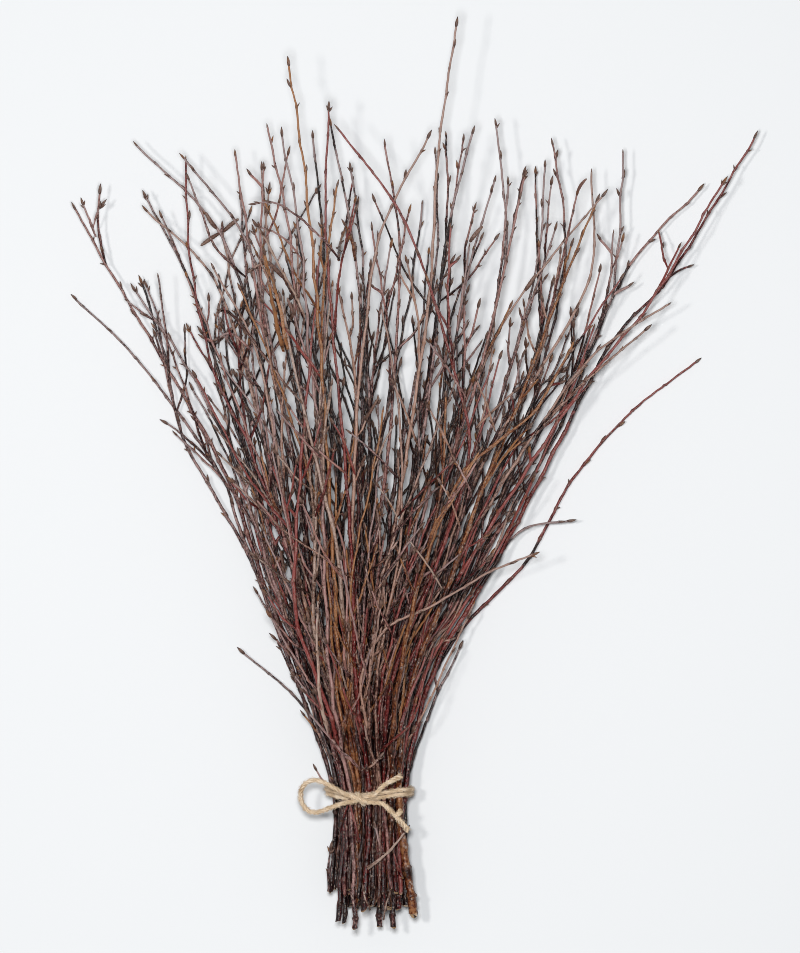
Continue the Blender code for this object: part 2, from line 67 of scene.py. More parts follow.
# Edges of the fan, as (y, left x, right x) in millimetres.
FAN = (
    (-192, -50, 0),
    (-158, -60, 4),
    (-116, -75, 17),
    (-74, -90, 42),
    (-38, -101, 62),
    (1, -114, 83),
    (46, -137, 104),
    (88, -169, 120),
)

# Where the stems are led to their own side, how mixed they are, how they bow, and the least height.
SHOULDERS = (-160, -118, -76)
SHOULDER_GAP = 25
TANGLE = 12.0
BOW = 10.0
LOWEST = 2.2

# Stems, in millimetres: name, radius at the cut end, bark, height of the tip, points up to the tip,
# then shoots as (share of the way from tie to tip, tip x, tip y, tip height).
STEMS = (
    ("left_01", 1.7, "dark", 2.2, ((-100, -41), (-123, 16), (-158, 62), (-206, 110)),
     ((0.60, -153, 36, 6),)),
    ("left_02", 1.9, "dark", 20, ((-96, -50), (-115, 7), (-165, 94), (-193, 142), (-206, 166)),
     ((0.89, -188, 177, 26),)),
    ("left_03", 1.8, "dark", 12, ((-103, -38), (-124, 0), (-146, 43), (-148, 79), (-164, 121)),
     ((0.70, -153, 98, 20),)),
    ("left_04", 1.5, "dark", 30, ((-90, -41), (-108, 13), (-128, 52), (-148, 88), (-169, 115)),
     ((0.50, -145, 28, 14),)),
    ("left_05", 1.9, "dark", 24,
     ((-85, -38), (-103, 22), (-125, 88), (-134, 119), (-147, 146), (-162, 171)), ((0.55, -116, 120, 16),)),
    ("left_06", 1.7, "brown", 36,
     ((-76, -38), (-94, 46), (-108, 96), (-124, 126), (-145, 144), (-161, 162)), ((0.60, -114, 150, 30),)),
    ("left_07", 2.0, "dark", 32, ((-73, -26), (-90, 58), (-97, 118), (-121, 154), (-142, 174), (-166, 200)),
     ((0.66, -103, 171, 42),)),
    ("left_08", 1.8, "red", 40, ((-79, -14), (-112, 46), (-127, 103), (-133, 136), (-136, 169), (-134, 193)),
     ((0.55, -98, 128, 30),)),
    ("left_09", 1.6, "dark", 52, ((-67, -14), (-86, 88), (-104, 157), (-113, 167), (-139, 192)),
     ((0.50, -118, 92, 34),)),
    ("left_10", 1.8, "dark", 48, ((-67, -2), (-90, 94), (-99, 160), (-106, 195)), ((0.70, -88, 187, 60),)),
    ("left_11", 1.4, "dark", 8, ((-70, -134), (-90, -116), (-107, -103)), ()),
    ("left_12", 2.0, "brown", 62, ((-61, -88), (-80, 8), (-86, 60), (-120, 128)), ((0.55, -72, 100, 54),)),
    ("middle_01", 1.7, "brown", 50, ((-61, -2), (-79, 88), (-90, 157), (-91, 187)), ((0.55, -70, 140, 66),)),
    ("middle_02", 1.9, "dark", 60, ((-56, -2), (-72, 88), (-74, 157), (-85, 194), (-85, 211)),
     ((0.62, -96, 150, 48),)),
    ("middle_03", 1.5, "dark", 66, ((-54, 4), (-64, 88), (-70, 169), (-80, 206)), ((0.52, -50, 128, 70),)),
    ("middle_04", 2.0, "orange", 80, ((-49, -14), (-55, 88), (-61, 160), (-69, 208), (-73, 247)),
     ((0.60, -44, 176, 78),)),
    ("middle_05", 1.8, "dark", 40, ((-46, -2), (-52, 88), (-55, 172), (-61, 206)), ((0.50, -76, 130, 30),)),
    ("middle_06", 2.0, "red", 74, ((-40, -2), (-48, 88), (-53, 172), (-50, 222)), ((0.66, -34, 168, 60),)),
    ("middle_07", 1.7, "dark", 58, ((-24, -2), (-30, 106), (-42, 178), (-49, 213)), ((0.56, -12, 140, 70),)),
    ("middle_08", 1.8, "red", 82, ((35, 4), (11, 118), (-7, 157), (-26, 184), (-44, 208)),
     ((0.62, 24, 152, 84),)),
    ("middle_09", 1.8, "dark", 34, ((-31, 10), (-28, 106), (-34, 166), (-37, 188)), ((0.50, -14, 110, 24),)),
    ("middle_10", 2.0, "dark", 68, ((-16, -2), (-7, 106), (-10, 166), (-17, 200)), ((0.60, -24, 150, 76),)),
    ("middle_11", 1.6, "brown", 76, ((-37, -2), (-28, 94), (-19, 148), (-7, 173), (10, 204)),
     ((0.58, -46, 116, 62),)),
    ("middle_12", 1.8, "dark", 54, ((-10, -2), (12, 106), (16, 172), (13, 196)), ((0.50, 34, 92, 44),)),
    ("middle_13", 2.0, "brown", 72, ((-7, -14), (8, 88), (15, 154), (17, 214), (27, 270)),
     ((0.56, -4, 134, 60),)),
    ("middle_14", 1.6, "dark", 46, ((-1, -8), (17, 106), (23, 178), (20, 207)), ((0.60, 31, 200, 62),)),
    ("middle_15", 1.8, "dark", 60, ((2, -2), (17, 106), (24, 178), (38, 207)), ((0.50, 0, 96, 30),)),
    ("middle_16", 2.1, "tan", 70, ((-55, -118), (-57, -50), (-54, 46), (-46, 118)), ((0.50, -64, 30, 74),)),
    ("middle_17", 1.9, "tan", 78, ((-43, -62), (-48, -32), (-56, 0), (-67, 46), (-80, 110)),
     ((0.60, -48, 60, 80),)),
    ("middle_18", 1.8, "red", 72, ((-69, -80), (-68, -30), (-66, 4), (-61, 58), (-54, 136)),
     ((0.45, -88, 20, 62),)),
    ("middle_19", 2.1, "orange", 80, ((-4, -100), (8, -50), (28, -2), (47, 16), (74, 41), (98, 84)),
     ((0.50, 20, 52, 82),)),
    ("middle_20", 1.9, "dark", 14, ((-30, -60), (-18, 30), (-4, 96), (6, 168)), ((0.45, -30, 76, 10),)),
    ("right_01", 1.7, "dark", 50, ((11, -2), (28, 88), (36, 142), (46, 166), (49, 180)),
     ((0.60, 34, 140, 64),)),
    ("right_02", 1.7, "dark", 36, ((14, -14), (23, 88), (32, 119), (44, 146)), ((0.50, 46, 86, 24),)),
    ("right_03", 1.9, "dark", 44, ((26, -14), (50, 94), (58, 148), (53, 196), (51, 213)),
     ((0.72, 59, 180, 56),)),
    ("right_04", 1.7, "brown", 60, ((20, 4), (47, 88), (59, 157), (68, 182)), ((0.56, 30, 108, 50),)),
    ("right_05", 1.8, "dark", 40, ((35, -2), (68, 88), (77, 157), (80, 189)), ((0.60, 86, 150, 50),)),
    ("right_06", 1.7, "dark", 30, ((47, -8), (89, 88), (91, 142), (86, 190), (81, 200)),
     ((0.62, 75, 142, 44),)),
    ("right_07", 1.9, "brown", 34, ((41, 4), (89, 82), (110, 130), (107, 166), (109, 185)),
     ((0.64, 90, 138, 48),)),
    ("right_08", 2.8, "orange", 46, ((40, -14), (77, 76), (91, 118), (100, 149), (114, 166)),
     ((0.50, 74, 34, 60),)),
    ("right_09", 1.8, "dark", 24, ((1, -122), (53, -14), (98, 64), (119, 112), (123, 157), (126, 197)),
     ((0.74, 120, 152, 36),)),
    ("right_10", 1.8, "dark", 12, ((5, -112), (65, -14), (107, 64), (125, 109), (138, 140), (176, 174)),
     ((0.60, 98, 96, 26),)),
    ("right_11", 2.0, "red", 20,
     ((14, -116), (41, -68), (74, -11), (104, 55), (137, 102), (173, 140), (206, 204)),
     ((0.78, 171, 128, 10),)),
    ("right_12", 1.8, "red", 34, ((-1, -112), (54, -20), (101, 52), (149, 112), (168, 142), (187, 177)),
     ((0.80, 163, 143, 26),)),
    ("right_13", 1.9, "brown", 42, ((-6, -116), (50, -12), (107, 70), (137, 94), (158, 104)),
     ((0.66, 143, 90, 54),)),
    ("right_14", 1.8, "red", 2.2, ((17, -111), (40, -81), (79, -39), (106, 15), (145, 48), (175, 72)), ()),
    ("right_15", 1.6, "dark", 16, ((29, -80), (62, -36), (82, -27), (100, -28)), ()),
    ("right_16", 1.7, "orange", 60, ((-30, -110), (-8, -86), (23, -72), (53, -53), (78, -45)), ()),
    ("right_17", 1.4, "dark", 10, ((4, -158), (11, -139), (22, -116), (31, -98)), ()),
    ("right_18", 2.0, "dark", 6, ((16, -60), (44, 10), (70, 60), (86, 120)), ((0.50, 92, 60, 4),)),
)

# Spans of a stem, then the radii of stems, buds and shoots and the gap that is kept between them.
STEM_SPANS = 6
BUD_LENGTH = 7.0
TIP_RADIUS = 0.8
BUD_RADIUS = 1.25
BUD_POINT = 0.35
SHOOT_RADIUS = 1.0
SHOOT_GIRTHS = (0.88, 0.7, 1.15)
CLEARANCE = 0.35

# Rows and columns of stems in the neck: row spacing, shift of the grid, shrink, and stems to a column.
ROW_SPACING = 0.866
GRID_SHIFT = (0.21, 0.13)
GRID_SHRINK = 0.93
STEMS_TO_COLUMN = 6

# Easing twigs apart: how near two must be to be looked at and how often that is seen to, the spare
# gap, the longest push, the share of it that is made, and how much a point follows its neighbours.
LOOK_REACH = 4.0
SWEEPS_TO_LOOK = 10
SPARE_GAP = 0.06
LONGEST_PUSH = 1.5
PUSH_SHARE = 0.9
FOLLOW_SHARE = 0.25

# Lines along a stem: steps to a span, the spread of the cut ends, and how its height rises, bows or
# sags; its radius shrinks by a power of its way.
CURVE_STEPS = 16
BUTT_SIDE = 3.5
BUTT_RISE = 3
BUTT_SINK = 1.5
RISE_POWER = 0.85
LOW_TIP = 20
HIGH_TIP = 30
LOW_BOW = 0.4
SAG = 0.3
TAPER_POWER = 0.7

# Twine around the neck, in millimetres: its radii, the points and places of its turns, how they dip
# to the knot, and their gap to the stems.
TWINE_RADIUS = 1.4
TURN_POINTS = 26
TURN_RADIUS = 1.15
TURN_OFFSETS = (3.9, 1.25)
TURN_DIP = 3.4
DIP_REACH = 24.0
DIP_RISE = 12
TWINE_GAP = 0.75
KNOT_X = -31.0


def run_along(line):
    """Distance of each point of a line from its start."""
    return np.concatenate([[0.0], np.cumsum(np.linalg.norm(np.diff(line, axis=0), axis=1))])


def along(points, shares):
    """Points at the given shares of the length of a smooth line through the given points."""
    pts = np.asarray(points, dtype=float)
    ends = np.vstack([2 * pts[0] - pts[1], pts, 2 * pts[-1] - pts[-2]])
    steps = np.linspace(0.0, 1.0, CURVE_STEPS + 1)[:-1, None]
    smooth = []
    for a, b, c, d in zip(ends, ends[1:], ends[2:], ends[3:]):
        smooth.append(0.5 * (2 * b + (c - a) * steps + (2 * a - 5 * b + 4 * c - d) * steps ** 2
                             + (3 * b - a - 3 * c + d) * steps ** 3))
    line = np.vstack(smooth + [pts[-1:]])
    run = run_along(line)
    wanted = np.asarray(shares) * run[-1]
    return np.column_stack([np.interp(wanted, run, line[:, k]) for k in range(3)]), run[-1]


def edges_at(y, edges=FAN):
    """Left and right edge of the fan at one distance along the bundle."""
    ys, lefts, rights = zip(*edges)
    return np.interp(y, ys, lefts), np.interp(y, ys, rights)


def neck_slots(count):
    """Places for the stems inside the tie, evenly packed in its oval, as (across, up)."""
    spacing = math.sqrt(math.pi * NECK_HALF_WIDTH * NECK_HALF_HEIGHT / count / ROW_SPACING)
    cells = []
    for row in range(-9, 10):
        for column in range(-9, 10):
            across = (column + 0.5 * (row % 2) + GRID_SHIFT[0]) * spacing
            up = (row + GRID_SHIFT[1]) * spacing * ROW_SPACING
            reach = math.hypot(across / NECK_HALF_WIDTH, up / NECK_HALF_HEIGHT)
            cells.append((reach, across * GRID_SHRINK, up * GRID_SHRINK))
    return [cell[1:] for cell in sorted(cells)[:count]]


def assign_slots(stems, rng):
    """Gives every stem a place in the neck that mostly follows its own side and height."""
    slots = sorted(neck_slots(len(stems)))
    sides = [stem[4][0][0] - 0.25 * stem[4][0][1] + rng.uniform(-1, 1) * TANGLE for stem in stems]
    levels = [stem[3] + rng.uniform(-1, 1) * TANGLE for stem in stems]
    order = sorted(range(len(stems)), key=lambda n: sides[n])
    chosen = {}
    for start in range(0, len(stems), STEMS_TO_COLUMN):
        group = sorted(order[start:start + STEMS_TO_COLUMN], key=lambda n: levels[n])
        places = sorted(slots[start:start + STEMS_TO_COLUMN], key=lambda place: place[1])
        for stem, place in zip(group, places):
            chosen[stem] = place
    return chosen


def shoulder_points(share_start, share_end, first_y):
    """Points that lead a stem from its place in the tie to its own side of the fan."""
    points = []
    for y in SHOULDERS:
        if y < first_y - SHOULDER_GAP:
            part = (y - TIE_Y) / (first_y - TIE_Y)
            left, right = edges_at(y)
            points.append((left + (share_start + (share_end - share_start) * part) * (right - left), y))
    return points


def stem_line(stem, slot, rng):
    """Guide points of one stem from its cut end through the tie to its tip."""
    name, _, _, tip_height, points, _ = stem
    across, up = slot
    tie_height = NECK_Z + up
    end_y = CUT_ENDS.get(name, BUTT_Y + rng.uniform(-BUTT_SPREAD, BUTT_SPREAD))
    end_x = NECK_X + across + rng.uniform(-BUTT_SIDE, BUTT_SIDE)
    end_z = tie_height - BUTT_SINK + rng.uniform(-BUTT_RISE, BUTT_RISE)
    if name == STUB:
        end_x += STUB_LEAN
        end_z -= STUB_DROP
    line = [(end_x, end_y, max(end_z, LOWEST)), (NECK_X + across, TIE_Y, max(tie_height, LOWEST))]
    first_x, first_y = points[0]
    left, right = edges_at(first_y)
    share_start = 0.5 + across / (2 * NECK_HALF_WIDTH)
    share_end = (first_x - left) / (right - left)
    total = math.hypot(points[-1][0] - NECK_X, points[-1][1] - TIE_Y)
    for x, y in shoulder_points(share_start, share_end, first_y) + list(points):
        way = min(1.0, math.hypot(x - NECK_X, y - TIE_Y) / total)
        bow = BOW * math.sin(math.pi * way) * (LOW_BOW if tip_height < LOW_TIP else 1.0)
        bow = bow if tip_height > HIGH_TIP else -SAG * bow
        height = tie_height + (tip_height - tie_height) * way ** RISE_POWER + bow
        line.append((x, y, max(height, LOWEST)))
    return line


def stem_radius(way, butt_radius):
    """Radius of a stem at a share of its way from the cut end to its bud."""
    return butt_radius + (TIP_RADIUS - butt_radius) * way ** TAPER_POWER


class Tangle:
    """All stems and shoots as chains of points that can be eased apart."""

    def __init__(self):
        self.points = []
        self.radii = []
        self.links = []
        self.chains = {}

    def add(self, name, points, radii, root=None):
        """Adds one chain; a shoot starts at the point `root` of its stem."""
        chain = [] if root is None else [root]
        for point, radius in zip(points, radii):
            chain.append(len(self.points))
            self.points.append(point)
            self.radii.append(radius)
        self.links.extend(zip(chain, chain[1:]))
        self.chains[name] = chain
        return chain


def closest_shares(p, u, q, v):
    """Shares along the segments p + s*u and q + t*v where they come closest."""
    w = p - q
    a = (u * u).sum(1)
    b = (u * v).sum(1)
    c = (v * v).sum(1)
    d = (u * w).sum(1)
    e = (v * w).sum(1)
    s = np.clip((b * e - c * d) / np.maximum(a * c - b * b, 1e-9), 0, 1)
    t = np.clip((b * s + e) / c, 0, 1)
    s = np.clip((b * t - d) / a, 0, 1)
    return s, t


def near_links(points, links, reach):
    """Pairs of links whose boxes come near each other and that share no point."""
    low = np.minimum(points[links[:, 0]], points[links[:, 1]]) - reach
    high = np.maximum(points[links[:, 0]], points[links[:, 1]]) + reach
    first, second = np.triu_indices(len(links), 1)
    close = np.ones(len(first), dtype=bool)
    for axis in range(3):
        close &= low[first, axis] < high[second, axis]
        close &= low[second, axis] < high[first, axis]
    first, second = first[close], second[close]
    shared = (links[first][:, :, None] == links[second][:, None, :]).any(axis=(1, 2))
    return first[~shared], second[~shared]


def hold_in_place(points, radii, tie_points):
    """Keeps every point above the surface and the tied points inside the oval of the neck."""
    points[:, 2] = np.maximum(points[:, 2], radii + 0.02)
    x = points[tie_points, 0] - NECK_X
    z = points[tie_points, 2] - NECK_Z
    wide = NECK_HALF_WIDTH - radii[tie_points]
    tall = NECK_HALF_HEIGHT - radii[tie_points]
    out = np.maximum(np.hypot(x / wide, z / tall), 1.0)
    points[tie_points, 0] = NECK_X + x / out
    points[tie_points, 2] = NECK_Z + z / out
    points[tie_points, 1] = TIE_Y


def ease_apart(tangle, tie_points, sweeps=420, settle=140, fixed=0):
    """Moves the chains until no two touch, keeping their bends smooth."""
    points = np.array(tangle.points)
    radii = np.array(tangle.radii)
    links = np.array(tangle.links)
    tie_points = np.array(tie_points)
    start = points.copy()
    degree = np.bincount(links.ravel(), minlength=len(points))[:, None]
    for sweep in range(sweeps):
        if sweep % SWEEPS_TO_LOOK == 0:
            first, second = near_links(points, links, LOOK_REACH)
        a0, a1 = links[first].T
        b0, b1 = links[second].T
        s, t = closest_shares(points[a0], points[a1] - points[a0], points[b0], points[b1] - points[b0])
        s, t = s[:, None], t[:, None]
        apart = points[a0] * (1 - s) + points[a1] * s - points[b0] * (1 - t) - points[b1] * t
        distance = np.linalg.norm(apart, axis=1)[:, None]
        reach = (np.maximum(radii[a0], radii[a1]) + np.maximum(radii[b0], radii[b1]))[:, None] + CLEARANCE
        push = np.clip(reach + SPARE_GAP - distance, 0, LONGEST_PUSH)
        apart = np.where(distance < 1e-4, (0, 0, 1.0), apart / np.maximum(distance, 1e-4)) * push
        moved = np.zeros_like(points)
        touched = np.zeros((len(points), 1))
        for index, weight, sign in ((a0, 1 - s, 1), (a1, s, 1), (b0, 1 - t, -1), (b1, t, -1)):
            np.add.at(moved, index, sign * weight * apart)
            np.add.at(touched, index, weight * (push > 0))
        points += moved / np.maximum(touched, 1.0) * PUSH_SHARE
        if sweep < sweeps - settle:
            shift = points - start
            mean = np.zeros_like(points)
            np.add.at(mean, links[:, 0], shift[links[:, 1]])
            np.add.at(mean, links[:, 1], shift[links[:, 0]])
            points = start + shift * (1 - FOLLOW_SHARE) + mean / degree * FOLLOW_SHARE
        hold_in_place(points, radii, tie_points)
        points[:fixed] = start[:fixed]
    return points, radii


def stem_shares(shoots):
    """Shares of the way from tie to bud at which a stem has its points, with one at every fork."""
    shares = [k / STEM_SPANS for k in range(1, STEM_SPANS)]
    for shoot in shoots:
        nearest = min(range(len(shares)), key=lambda k: abs(shares[k] - shoot[0]))
        shares[nearest] = shoot[0]
    return shares


def shoot_points(fork, heading, tip):
    """Points of a shoot that leaves its fork along the stem and bends over to its own tip."""
    fork, tip = np.array(fork), np.array(tip)
    length = np.linalg.norm(tip - fork)
    side = (tip - fork) / length
    bend = fork + (heading * 0.30 + side * 0.70) * length * 0.45
    end = (tip - bend) / np.linalg.norm(tip - bend)
    return [bend, tip - end * (BUD_LENGTH - 1.0), tip - end * 2.5, tip]


def lay_out_twigs():
    """Builds every chain and eases them apart; returns lines and radii by name."""
    rng = random.Random(SEED)
    tangle = Tangle()
    slots = assign_slots(STEMS, rng)
    tie_points = []
    shoots_of = {}
    for number, stem in enumerate(STEMS):
        name, butt_radius, _, _, _, shoots = stem
        guide = stem_line(stem, slots[number], rng)
        upper, length = along(guide[1:], [0.0] + stem_shares(shoots) + [1.0])
        _, full = along(guide, [0.0, 1.0])
        bud_share = 1.0 - BUD_LENGTH / length
        bud, _ = along(guide[1:], [bud_share, 1.0 - 0.4 * (1 - bud_share), 1.0])
        line = [guide[0]] + list(upper[:-1]) + list(bud)
        shares = np.array([0.0] + stem_shares(shoots) + [bud_share])
        ways = np.concatenate([[0.0], (full - length + shares * length) / full])
        radii = [stem_radius(way, butt_radius) for way in ways] + [BUD_RADIUS, BUD_POINT]
        chain = tangle.add(name, line, radii)
        tie_points.append(chain[1])
        shoots_of[name] = []
        for order, (share, x, y, z) in enumerate(shoots):
            fork = 2 + stem_shares(shoots).index(share)
            heading = np.array(line[fork + 1]) - np.array(line[fork - 1])
            heading /= np.linalg.norm(heading)
            points = shoot_points(line[fork], heading, (x, y, z))
            girths = [*SHOOT_GIRTHS, BUD_POINT]
            shoot = name + "_shoot_" + str(order + 1)
            tangle.add(shoot, points, girths, root=chain[fork])
            shoots_of[name].append(shoot)
    points, radii = ease_apart(tangle, tie_points)
    lines = {name: points[chain] for name, chain in tangle.chains.items()}
    widths = {name: radii[chain] for name, chain in tangle.chains.items()}
    for shoots in shoots_of.values():
        for shoot in shoots:
            widths[shoot][0] = SHOOT_RADIUS
    return lines, widths, shoots_of


def outline_of(circles, margin):
    """Convex outline around circles given as (x, z, radius), in anticlockwise order."""
    angles = np.linspace(0, 2 * math.pi, 24, endpoint=False)
    dots = []
    for x, z, radius in circles:
        reach = radius + margin
        dots.extend((x + reach * math.cos(a), z + reach * math.sin(a)) for a in angles)
    dots = sorted(dots)

    def half(run):
        hull = []
        for dot in run:
            while len(hull) > 1 and turn(hull[-2], hull[-1], dot) <= 0:
                hull.pop()
            hull.append(dot)
        return hull[:-1]

    return half(dots) + half(dots[::-1])


def turn(a, b, c):
    """Positive where the path a, b, c turns left."""
    return (b[0] - a[0]) * (c[1] - a[1]) - (b[1] - a[1]) * (c[0] - a[0])


def cross_section(lines, widths, y):
    """Circles of all stems where they pass one distance along the bundle."""
    circles = []
    for stem in STEMS:
        line = lines[stem[0]]
        for k in range(2):
            a, b = line[k], line[k + 1]
            if min(a[1], b[1]) <= y <= max(a[1], b[1]):
                share = (y - a[1]) / (b[1] - a[1])
                spot = a + (b - a) * share
                circles.append((spot[0], spot[2], widths[stem[0]][k]))
                break
    return circles


def ring_around(lines, widths, y, margin):
    """Closed line of twine centre points hugging the stems at one distance along the bundle."""
    hull = np.array(outline_of(cross_section(lines, widths, y), margin))
    closed = np.vstack([hull, hull[:1]])
    run = run_along(closed)
    wanted = np.linspace(0, run[-1], TURN_POINTS, endpoint=False)
    ring = np.column_stack([np.interp(wanted, run, closed[:, 0]), np.interp(wanted, run, closed[:, 1])])
    return np.column_stack([ring[:, 0], np.full(len(ring), y), ring[:, 1]])


def turn_line(lines, widths, y):
    """Closed line of one turn of twine, drawn down to the knot on top, no lower than the surface."""
    ring = ring_around(lines, widths, y, TURN_RADIUS + TWINE_GAP)
    ring[:, 2] = np.maximum(ring[:, 2], TURN_RADIUS)
    near = 1 - np.clip(np.abs(ring[:, 0] - KNOT_X) / DIP_REACH, 0, 1)
    high = np.clip((ring[:, 2] - NECK_Z) / DIP_RISE, 0, 1)
    ring[:, 1] -= np.where(ring[:, 2] > NECK_Z, TURN_DIP * near * high, 0)
    return ring


def top_of(ring, x):
    """Height of the top of a turn of twine at one place across."""
    upper = ring[ring[:, 2] > NECK_Z]
    upper = upper[np.argsort(upper[:, 0])]
    return float(np.interp(x, upper[:, 0], upper[:, 2])) + TURN_RADIUS


def bow_lines(rings):
    """Middle lines of the bow's pieces: the knot, the open loop and the two loose ends."""
    crown = max(top_of(ring, KNOT_X + dx) for ring in rings for dx in (-7, 0, 7))
    top = crown + TWINE_RADIUS + 1.5
    knot = ((-37.4, -191.0, top - 0.8), (-34.5, -194.4, top - 0.2), (-31.2, -191.4, top + 0.5),
            (-27.8, -195.2, top - 0.4), (-25.2, -192.6, top - 0.8))
    loop = ((-40.0, -190.4, top + 0.5), (-49.2, -185.0, top + 3.0), (-55.4, -182.2, top + 3.4),
            (-61.4, -182.2, top + 1.6), (-66.0, -187.0, top - 1.8), (-66.8, -192.6, top - 4.8),
            (-65.0, -197.4, top - 7.0), (-61.0, -201.2, top - 7.6), (-55.0, -200.8, top - 5.4),
            (-48.0, -198.0, top - 1.6), (-40.2, -195.4, top + 0.4))
    upper = ((-22.0, -190.6, top + 0.2), (-18.6, -186.4, top - 0.2), (-13.4, -182.9, top - 1.6),
             (-6.6, -179.7, top - 5.0))
    lower = ((-22.4, -195.4, top + 0.4), (-17.6, -196.0, top + 0.6), (-13.4, -199.8, top - 0.6),
             (-9.4, -204.0, top - 2.6), (-5.6, -208.4, top - 5.4), (-2.6, -212.2, top - 8.4))
    routes = {"knot": (knot, 9), "loop": (loop, 15), "tail_upper": (upper, 7), "tail_lower": (lower, 8)}
    return {name: along(route, np.linspace(0, 1, count))[0] for name, (route, count) in routes.items()}


# Thin twigs that fill the fan between the solid ones: how many, how close to the middle of the tie,
# their places across the fan, how far up they reach, how they drift, their radii and the heights of
# their tips, their barks, and where along them they have guide points.
FILL_COUNT = 56
FILL_INSET = 0.84
FILL_UNEVEN = 0.6
FILL_SHARES = (0.03, 0.97)
FILL_REACH = (0, 185, 60)
FILL_DRIFT = 0.3
FILL_EDGES = (0.05, 0.95)
FILL_RADIUS = (1.0, 1.5)
FILL_TIP_LOW = 6
FILL_TIP_HIGH = 18
FILL_TIP_RISE = 56
FILL_ROUNDING = 1.6
FILL_TONES = ("dark", "red", "dark", "brown", "dark", "orange", "red", "dark", "brown", "dark", "dark",
              "red", "brown", "tan", "dark", "brown", "orange")
FILL_PARTS = (0.35, 0.7, 1.0)
FAN_FOOT = -110

# Thin dark twigs under them: how many, their places across the fan, reach, radii, heights, and their
# near-black shade, partly their dark bark and partly painted shade for their depth.
LOW_COUNT = 16
LOW_FIRST = 0.10
LOW_WIDTH = 0.62
LOW_REACH = (10, 100)
LOW_UNEVEN = 0.03
LOW_RADIUS = (1.1, 1.5)
LOW_TIPS = (4, 20)
LOW_PAINTED_SHADE = 0.1

# Upper edge of the fan of tips, as (x, y), and its sides above the traced edges, as (y, left x, right x).
CROWN = ((-206, 150), (-160, 184), (-120, 186), (-85, 202), (-45, 208), (0, 198), (40, 198), (60, 196),
         (85, 186), (125, 182), (165, 166), (206, 180))
SIDES = FAN + ((130, -176, 148), (165, -182, 172), (200, -166, 196))

# Buds: length, how often a joint has one, width, the form from foot to point, where on a main twig
# they start, how they lean and vary in length, and how much of a bud's colour a joint has.
BUD_SIZE = 5.0
BUD_SHARE = 0.46
BUD_PLUMP = (0.145, 0.195)
BUD_WAYS = np.array([-0.08, 0.12, 0.34, 0.58, 0.80, 1.0])
BUD_GIRTHS = np.array([0.62, 0.92, 1.0, 0.82, 0.48, 0.10])
BUDS_FROM = 0.30
BUD_LEAN = (0.12, 0.42)
BUD_SPREAD = (0.65, 1.05)
JOINT_BUD = 0.45

# The draws from 0 to 1 below which an end bud is weak, and above which one or two more stand by it.
WEAK_BELOW = 0.16
SECOND_ABOVE = 0.74
THIRD_ABOVE = 0.9

# Twigs: the spacing of their rings and joints, how they taper and kink, the swelling of a joint, how
# uneven they are, their radii at the end and at the foot of a shoot, the slant of a cut, and the scars.
RING_SPACING = 1.2
FIRST_JOINT = (5, 14)
LAST_JOINT = 6
TAPER = (0.45, 1.00)
JOINTS_MAIN = (11, 24)
JOINTS_THIN = (8, 15)
KINK_MAIN = 0.60
KINK_THIN = 0.36
KINK_SPREAD = (0.7, 1.3)
JOINT_LENGTH = 1.3
SWELLING = 0.38
WANDER = 0.16
GIRTH_SPREAD = (0.88, 1.09)
FOOT_LENGTH = 6
FOOT_GIRTH = 0.55
SLANT = 0.7
END_MAIN = 0.62
SHOOT_FOOT = 0.92
END_SHOOT = 0.58
END_FILL = 0.55
SCARS_FROM = 0.05
SCAR_SHARE = 0.6
SCAR_SIZE = 2.8

# Side sprigs: where on a twig they start, their lengths on its outer and inner part, how they lean,
# how often one ends in a catkin, and the length below which they are spurs.
SPRIG_START = 0.22
SPRIG_OUTER = (7, 14, 22, 32, 48, 66)
SPRIG_INNER = (30, 50, 75, 100)
SPRIG_LEANS = (0.4, 0.6, 0.95)
SPRIG_CATKINS = 0.06
SPUR_LENGTH = 11

# Corners around a twig, and how the grain runs along it.
SIDES_MAIN = 8
SIDES_THIN = 6
GRAIN_RADIUS = 1.5
GRAIN_REPEAT = 997

# Where along the stub its shade changes and its knot is, with the knot's length and swelling.
STUB_FADE = (60.0, 85.0)
STUB_END_SHADE = 0.1
STUB_KNOT = 25.0
STUB_KNOT_LENGTH = 3.0
STUB_KNOT_SWELLING = 0.35

# How much twigs darken at their cut ends, and over which length.
FOOT_DARK = 0.30
FOOT_SPAN = 150.0

# Painted shade: how much darker twigs are painted that lie under others, by their depth.
COVER_CELL = 3.5
BURIED_FROM = 4.5
BURIED_SPAN = 22.0
BURIED_PAINTED_SHADE = 1.15

